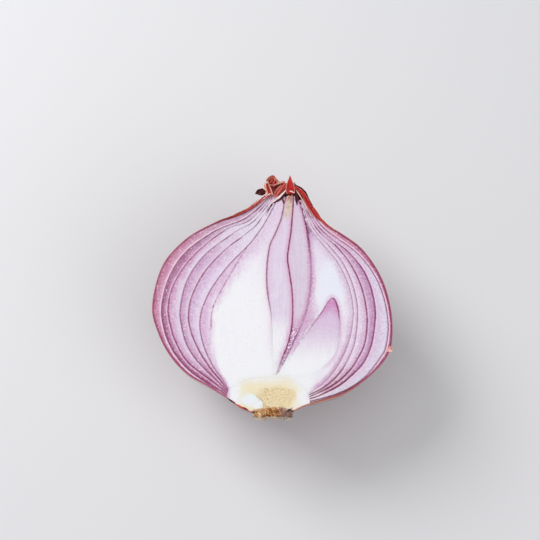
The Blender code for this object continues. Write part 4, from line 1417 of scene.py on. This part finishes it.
def bead_recipe(tree):
    """Juice over pink flesh."""
    place = tree.place()
    clouds = tree.cloud(place, 1200.0, 2.0)
    shade = tree.blend(clouds.step(0.35, 0.65), (226, 170, 214), (250, 238, 250))
    return {"Base Color": shade, "Roughness": (0.08 + 0.2 * (clouds - 0.4)).clip()}


def skin_recipe(tree):
    """Glossy dry skin: deep crimson with fine lengthwise veins, paler at the root end."""
    place = tree.place()
    along, around = tree.values("along", "around")
    across = tree.millimetres(place)[0]
    length = along * 6.0
    veins = tree.cloud(tree.joined(around * 0.55, length * 0.30, 0.0), 1.0, 4.0, 0.6)
    fine = tree.cloud(tree.joined(around * 2.2, length * 0.5, 2.0), 1.0, 2.0, 0.5)
    clouds = tree.cloud(place, 60.0, 4.0, 0.6)
    mottle = tree.cloud(place, 420.0, 4.0, 0.65)
    broad = tree.cloud(tree.joined(around * 0.07, length * 0.45, 7.0), 1.4, 4.0, 0.6)
    shade = tree.blend(clouds.step(0.32, 0.70), (98, 0, 18), (148, 8, 38))
    shade = shade.painted(broad.step(0.48, 0.78) * 0.50, (172, 26, 62))
    shade = shade.painted(mottle.step(0.55, 0.75) * 0.22, (150, 40, 72))
    shade = shade.painted(veins.step(0.56, 0.66) * 0.26, (176, 70, 100))
    shade = shade.painted(fine.fall(0.34, 0.46) * 0.40, (74, 0, 16))
    wander = (veins - 0.5) * 0.16 + (clouds - 0.5) * 0.10
    # Paler mauve at the root end: partly the skin's own colour, partly a painted highlight
    root = (along + wander).fall(0.06, 0.26)
    shade = shade.painted(root * (0.35 + 0.5 * broad), (160, 82, 118))
    collar = (along + wander * 0.4).fall(0.05, 0.12)
    shade = shade.painted(collar * 0.8, (206, 158, 150))
    flecks = collar * mottle.fall(0.36, 0.48)
    shade = shade.painted(flecks * 0.8, (112, 58, 38))
    neck = (along + (veins - 0.5) * 0.18).step(0.78, 0.93)
    shade = shade.painted(neck * 0.75, (150, 30, 20))
    shade = shade.painted(neck * fine.step(0.52, 0.66) * 0.5, (196, 96, 56))
    specks = tree.cloud(place, 800.0, 3.0, 0.7).step(0.66, 0.74)
    shade = shade.painted(specks * 0.35, (40, 6, 8))
    shoulder = along.fall(0.15, 0.25)
    cut = (90.0 - abs(around - 90.0)).fall(0.0, 1.2)
    rosy = tree.blend(shoulder * across.step(4.0, 12.0), (186, 84, 112), (206, 120, 82))
    shade = shade.painted(cut * (1.0 - neck) * 0.8, rosy)
    rough = 0.16 + 0.20 * (clouds - 0.4) + 0.10 * (mottle - 0.5) + 0.34 * neck + 0.28 * collar
    bump = tree.bump(veins * 0.8 + fine * 0.35 + mottle * 0.2, 0.10, 0.5)
    return {"Base Color": shade, "Roughness": rough.clip(), "Normal": bump,
            "Coat Weight": (0.50 - 0.45 * neck - 0.40 * collar).clip()}


def paper_recipe(tree):
    """Withered neck tissue, from dark maroon through scarlet and tan to pinkish white."""
    place = tree.place()
    across, up, height = tree.millimetres(place)
    tone, rim = tree.values("tone", "rim")
    fibres = tree.cloud(tree.joined(across * 2.6, up * 0.8, height * 1.5), 1.1, 4.0, 0.65)
    clouds = tree.cloud(place, 520.0, 4.0, 0.65)
    shade = tree.add("ShaderNodeValToRGB",
                     {"stops": [(0.0, (62, 2, 8)), (0.14, (98, 4, 12)),
                                (0.30, (148, 14, 20)), (0.44, (192, 34, 32)),
                                (0.60, (198, 78, 56)), (0.78, (226, 146, 118)),
                                (0.90, (242, 198, 186)), (1.0, (253, 232, 232))]},
                     {0: (tone + (clouds - 0.5) * 0.36 + (fibres - 0.5) * 0.28).clip()})
    edge = (rim + (clouds - 0.5) * 0.3).fall(0.04, 0.30) * tone.step(0.20, 0.50)
    shade = shade.painted(edge * 0.7, (242, 168, 160))
    creases = fibres.fall(0.30, 0.42) * (1.0 - tone.step(0.80, 1.0) * 0.7)
    shade = shade.painted(creases * 0.75, (84, 8, 12))
    return {"Base Color": shade, "Roughness": (0.42 + 0.3 * (clouds - 0.5)).clip(),
            "Normal": tree.bump(fibres + clouds * 0.5, 0.16, 0.7)}


def floor_recipe(tree):
    """Pale grey with a faint haze."""
    place = tree.place()
    haze = tree.cloud(place, 3.0, 3.0)
    return {"Base Color": tree.blend(haze, (226, 226, 228), (232, 232, 234)),
            "Roughness": 0.6 + 0.1 * (haze - 0.5)}


# Everything in place

# Looks of each scale, from the outermost inwards: colours on the left and on the right for its
# outer part, inner part, root and neck, then the strength of the lines along its outer edge and
# its inner edge, left and right, of the pale stripe beside the inner edge, which is a painted
# highlight, and of the red skin that clings to the outer edge
SCALE_LOOKS = [
    (((180, 98, 136), (216, 162, 190), (178, 90, 136), (194, 156, 182)),
     ((168, 82, 124), (206, 142, 180), (196, 112, 148), (202, 128, 164)),
     ((0.9, 0.9), (0.9, 0.5)), 0.9, 1.0),
    (((150, 82, 128), (202, 146, 184), (158, 58, 112), (206, 182, 206)),
     ((226, 216, 234), (218, 192, 220), (214, 202, 220), (214, 168, 200)),
     ((1.0, 0.6), (0.7, 0.9)), 0.45, 0.4),
    (((206, 150, 190), (224, 210, 230), (188, 130, 170), (226, 214, 232)),
     ((190, 136, 178), (206, 166, 202), (176, 92, 144), (210, 164, 198)),
     ((0.9, 1.0), (0.5, 0.9)), 0.45, 0.0),
    (((196, 150, 188), (218, 190, 218), (182, 110, 156), (226, 218, 234)),
     ((216, 178, 208), (232, 216, 236), (180, 104, 152), (216, 184, 212)),
     ((0.8, 0.9), (0.8, 0.35)), 0.45, 0.0),
    (((208, 172, 206), (228, 212, 234), (198, 144, 184), (228, 220, 236)),
     ((220, 186, 214), (232, 218, 238), (206, 156, 192), (218, 196, 220)),
     ((0.9, 0.35), (0.5, 0.3)), 0.45, 0.0),
]

# The camera and the soft lights, in metres, with each light's place, width and power
CAMERA_ELEVATION = 78.0  # degrees
CAMERA_REACH = 0.70
CAMERA_AIM = (-0.0008, 0.0146, CUT_HEIGHT * MM)
LIGHT_AIM = (0.0, 0.0, 0.03)
SOFT_LIGHTS = {"key": ((-0.42, 0.34, 0.55), 0.4, 3.5), "fill": ((0.55, -0.35, 0.60), 0.6, 1.6),
               "top": ((0.05, -0.05, 0.95), 0.8, 1.5)}
FLOOR_REACH = 1.5


def build():
    """Every piece of the half, each in the place of its node."""
    white_flesh = new_finish("cut_white_flesh", inner_recipe, **WET)
    left_leaf = new_finish("cut_left_leaf", leaf_recipe(False), **WET)
    right_leaf = new_finish("cut_right_leaf", leaf_recipe(True), **WET)
    bud_flesh = new_finish("cut_bud", bud_recipe, **WET)
    plate_flesh = new_finish("cut_stem_disc", plate_recipe, **WET)
    juice = new_finish("juice_in_cleft", bead_recipe, Specular_IOR_Level=0.6, Coat_Weight=0.5,
                       Coat_Roughness=0.04)
    cork = new_finish("dry_root_scar", cork_recipe, Specular_IOR_Level=0.25)
    gloss = new_finish("glossy_dry_skin", skin_recipe, Specular_IOR_Level=0.4, Coat_Roughness=0.05)
    paper = new_finish("withered_neck", paper_recipe, Specular_IOR_Level=0.22)

    made = {}
    for index, looks in enumerate(SCALE_LOOKS, start=1):
        flesh = new_finish(f"cut_scale_{index}", scale_recipe(*looks), **WET)
        made[f"scale_{index}"] = (fleshy_scale(index, flesh),
                                  "outer_scale" if index == 1 else "fleshy_scale")
    made["inner_scale"] = (inner_flesh(white_flesh), "inner_scale")
    left = solid_leaf(CENTRE_LEFT, CENTRE_MIDDLE, ROWS, LEAF_COLUMNS)
    made["centre_leaf_left"] = (left.piece("left_leaf_flesh", [left_leaf]), "centre_leaf")
    right = solid_leaf(CENTRE_MIDDLE, CENTRE_RIGHT, ROWS, LEAF_COLUMNS, cleft)
    right.take(juice_beads(juice), slot=1)
    made["centre_leaf_right"] = (right.piece("right_leaf_flesh", [right_leaf, juice]),
                                 "centre_leaf")
    bud = solid_leaf(BUD_LEFT, BUD_RIGHT, BUD_ROWS, BUD_COLUMNS)
    made["side_bud"] = (bud.piece("bud_flesh", [bud_flesh]), "centre_leaf")
    made["basal_plate"] = (basal_plate(plate_flesh), "basal_plate")
    made["root_scar"] = (corky_scar(cork).piece("cork_scar", [cork]), "root_scar")
    skin = dry_skin(paper)
    made["dry_skin"] = (skin.piece("papery_skin", [gloss, paper]), "dry_skin")
    for node, (piece, slot) in made.items():
        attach(piece, "root")
        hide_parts(node)


def floor():
    """The plain floor that the half lies on."""
    reach = FLOOR_REACH
    mesh = bpy.data.meshes.new("floor")
    mesh.from_pydata([(-reach, -reach, 0), (reach, -reach, 0), (reach, reach, 0),
                      (-reach, reach, 0)], [], [(0, 1, 2, 3)])
    mesh.materials.append(new_finish("pale_floor", floor_recipe))
    made = bpy.data.objects.new("floor", mesh)
    bpy.context.scene.collection.objects.link(made)


def aimed(name, data, place, aim):
    """Put a camera or a light at a place and turn it to what it looks at."""
    made = bpy.data.objects.new(name, data)
    made.location = place
    made.rotation_euler = (Vector(aim) - Vector(place)).to_track_quat("-Z", "Y").to_euler()
    bpy.context.scene.collection.objects.link(made)
    return made


def studio():
    """Camera at the photograph's angle, soft lights and a pale room."""
    data = bpy.data.cameras.new("camera")
    data.lens = 135.0
    data.sensor_width = 36.0
    data.clip_start = 0.01
    data.clip_end = 10.0
    elevation = math.radians(CAMERA_ELEVATION)
    back = Vector((0.0, -math.cos(elevation), math.sin(elevation)))
    place = Vector(CAMERA_AIM) + back * CAMERA_REACH
    bpy.context.scene.camera = aimed("camera", data, place, CAMERA_AIM)

    for name, (place, width, power) in SOFT_LIGHTS.items():
        data = bpy.data.lights.new(name, "AREA")
        data.shape = "RECTANGLE"
        data.size = data.size_y = width
        data.energy = power
        aimed(name, data, place, LIGHT_AIM)
    world = bpy.data.worlds.new("room")
    world.use_nodes = True
    air = world.node_tree.nodes["Background"]
    air.inputs["Color"].default_value = (0.95, 0.96, 1.0, 1.0)
    air.inputs["Strength"].default_value = 0.33
    bpy.context.scene.world = world
    bpy.context.scene.view_settings.view_transform = "Standard"


build()
floor()
studio()
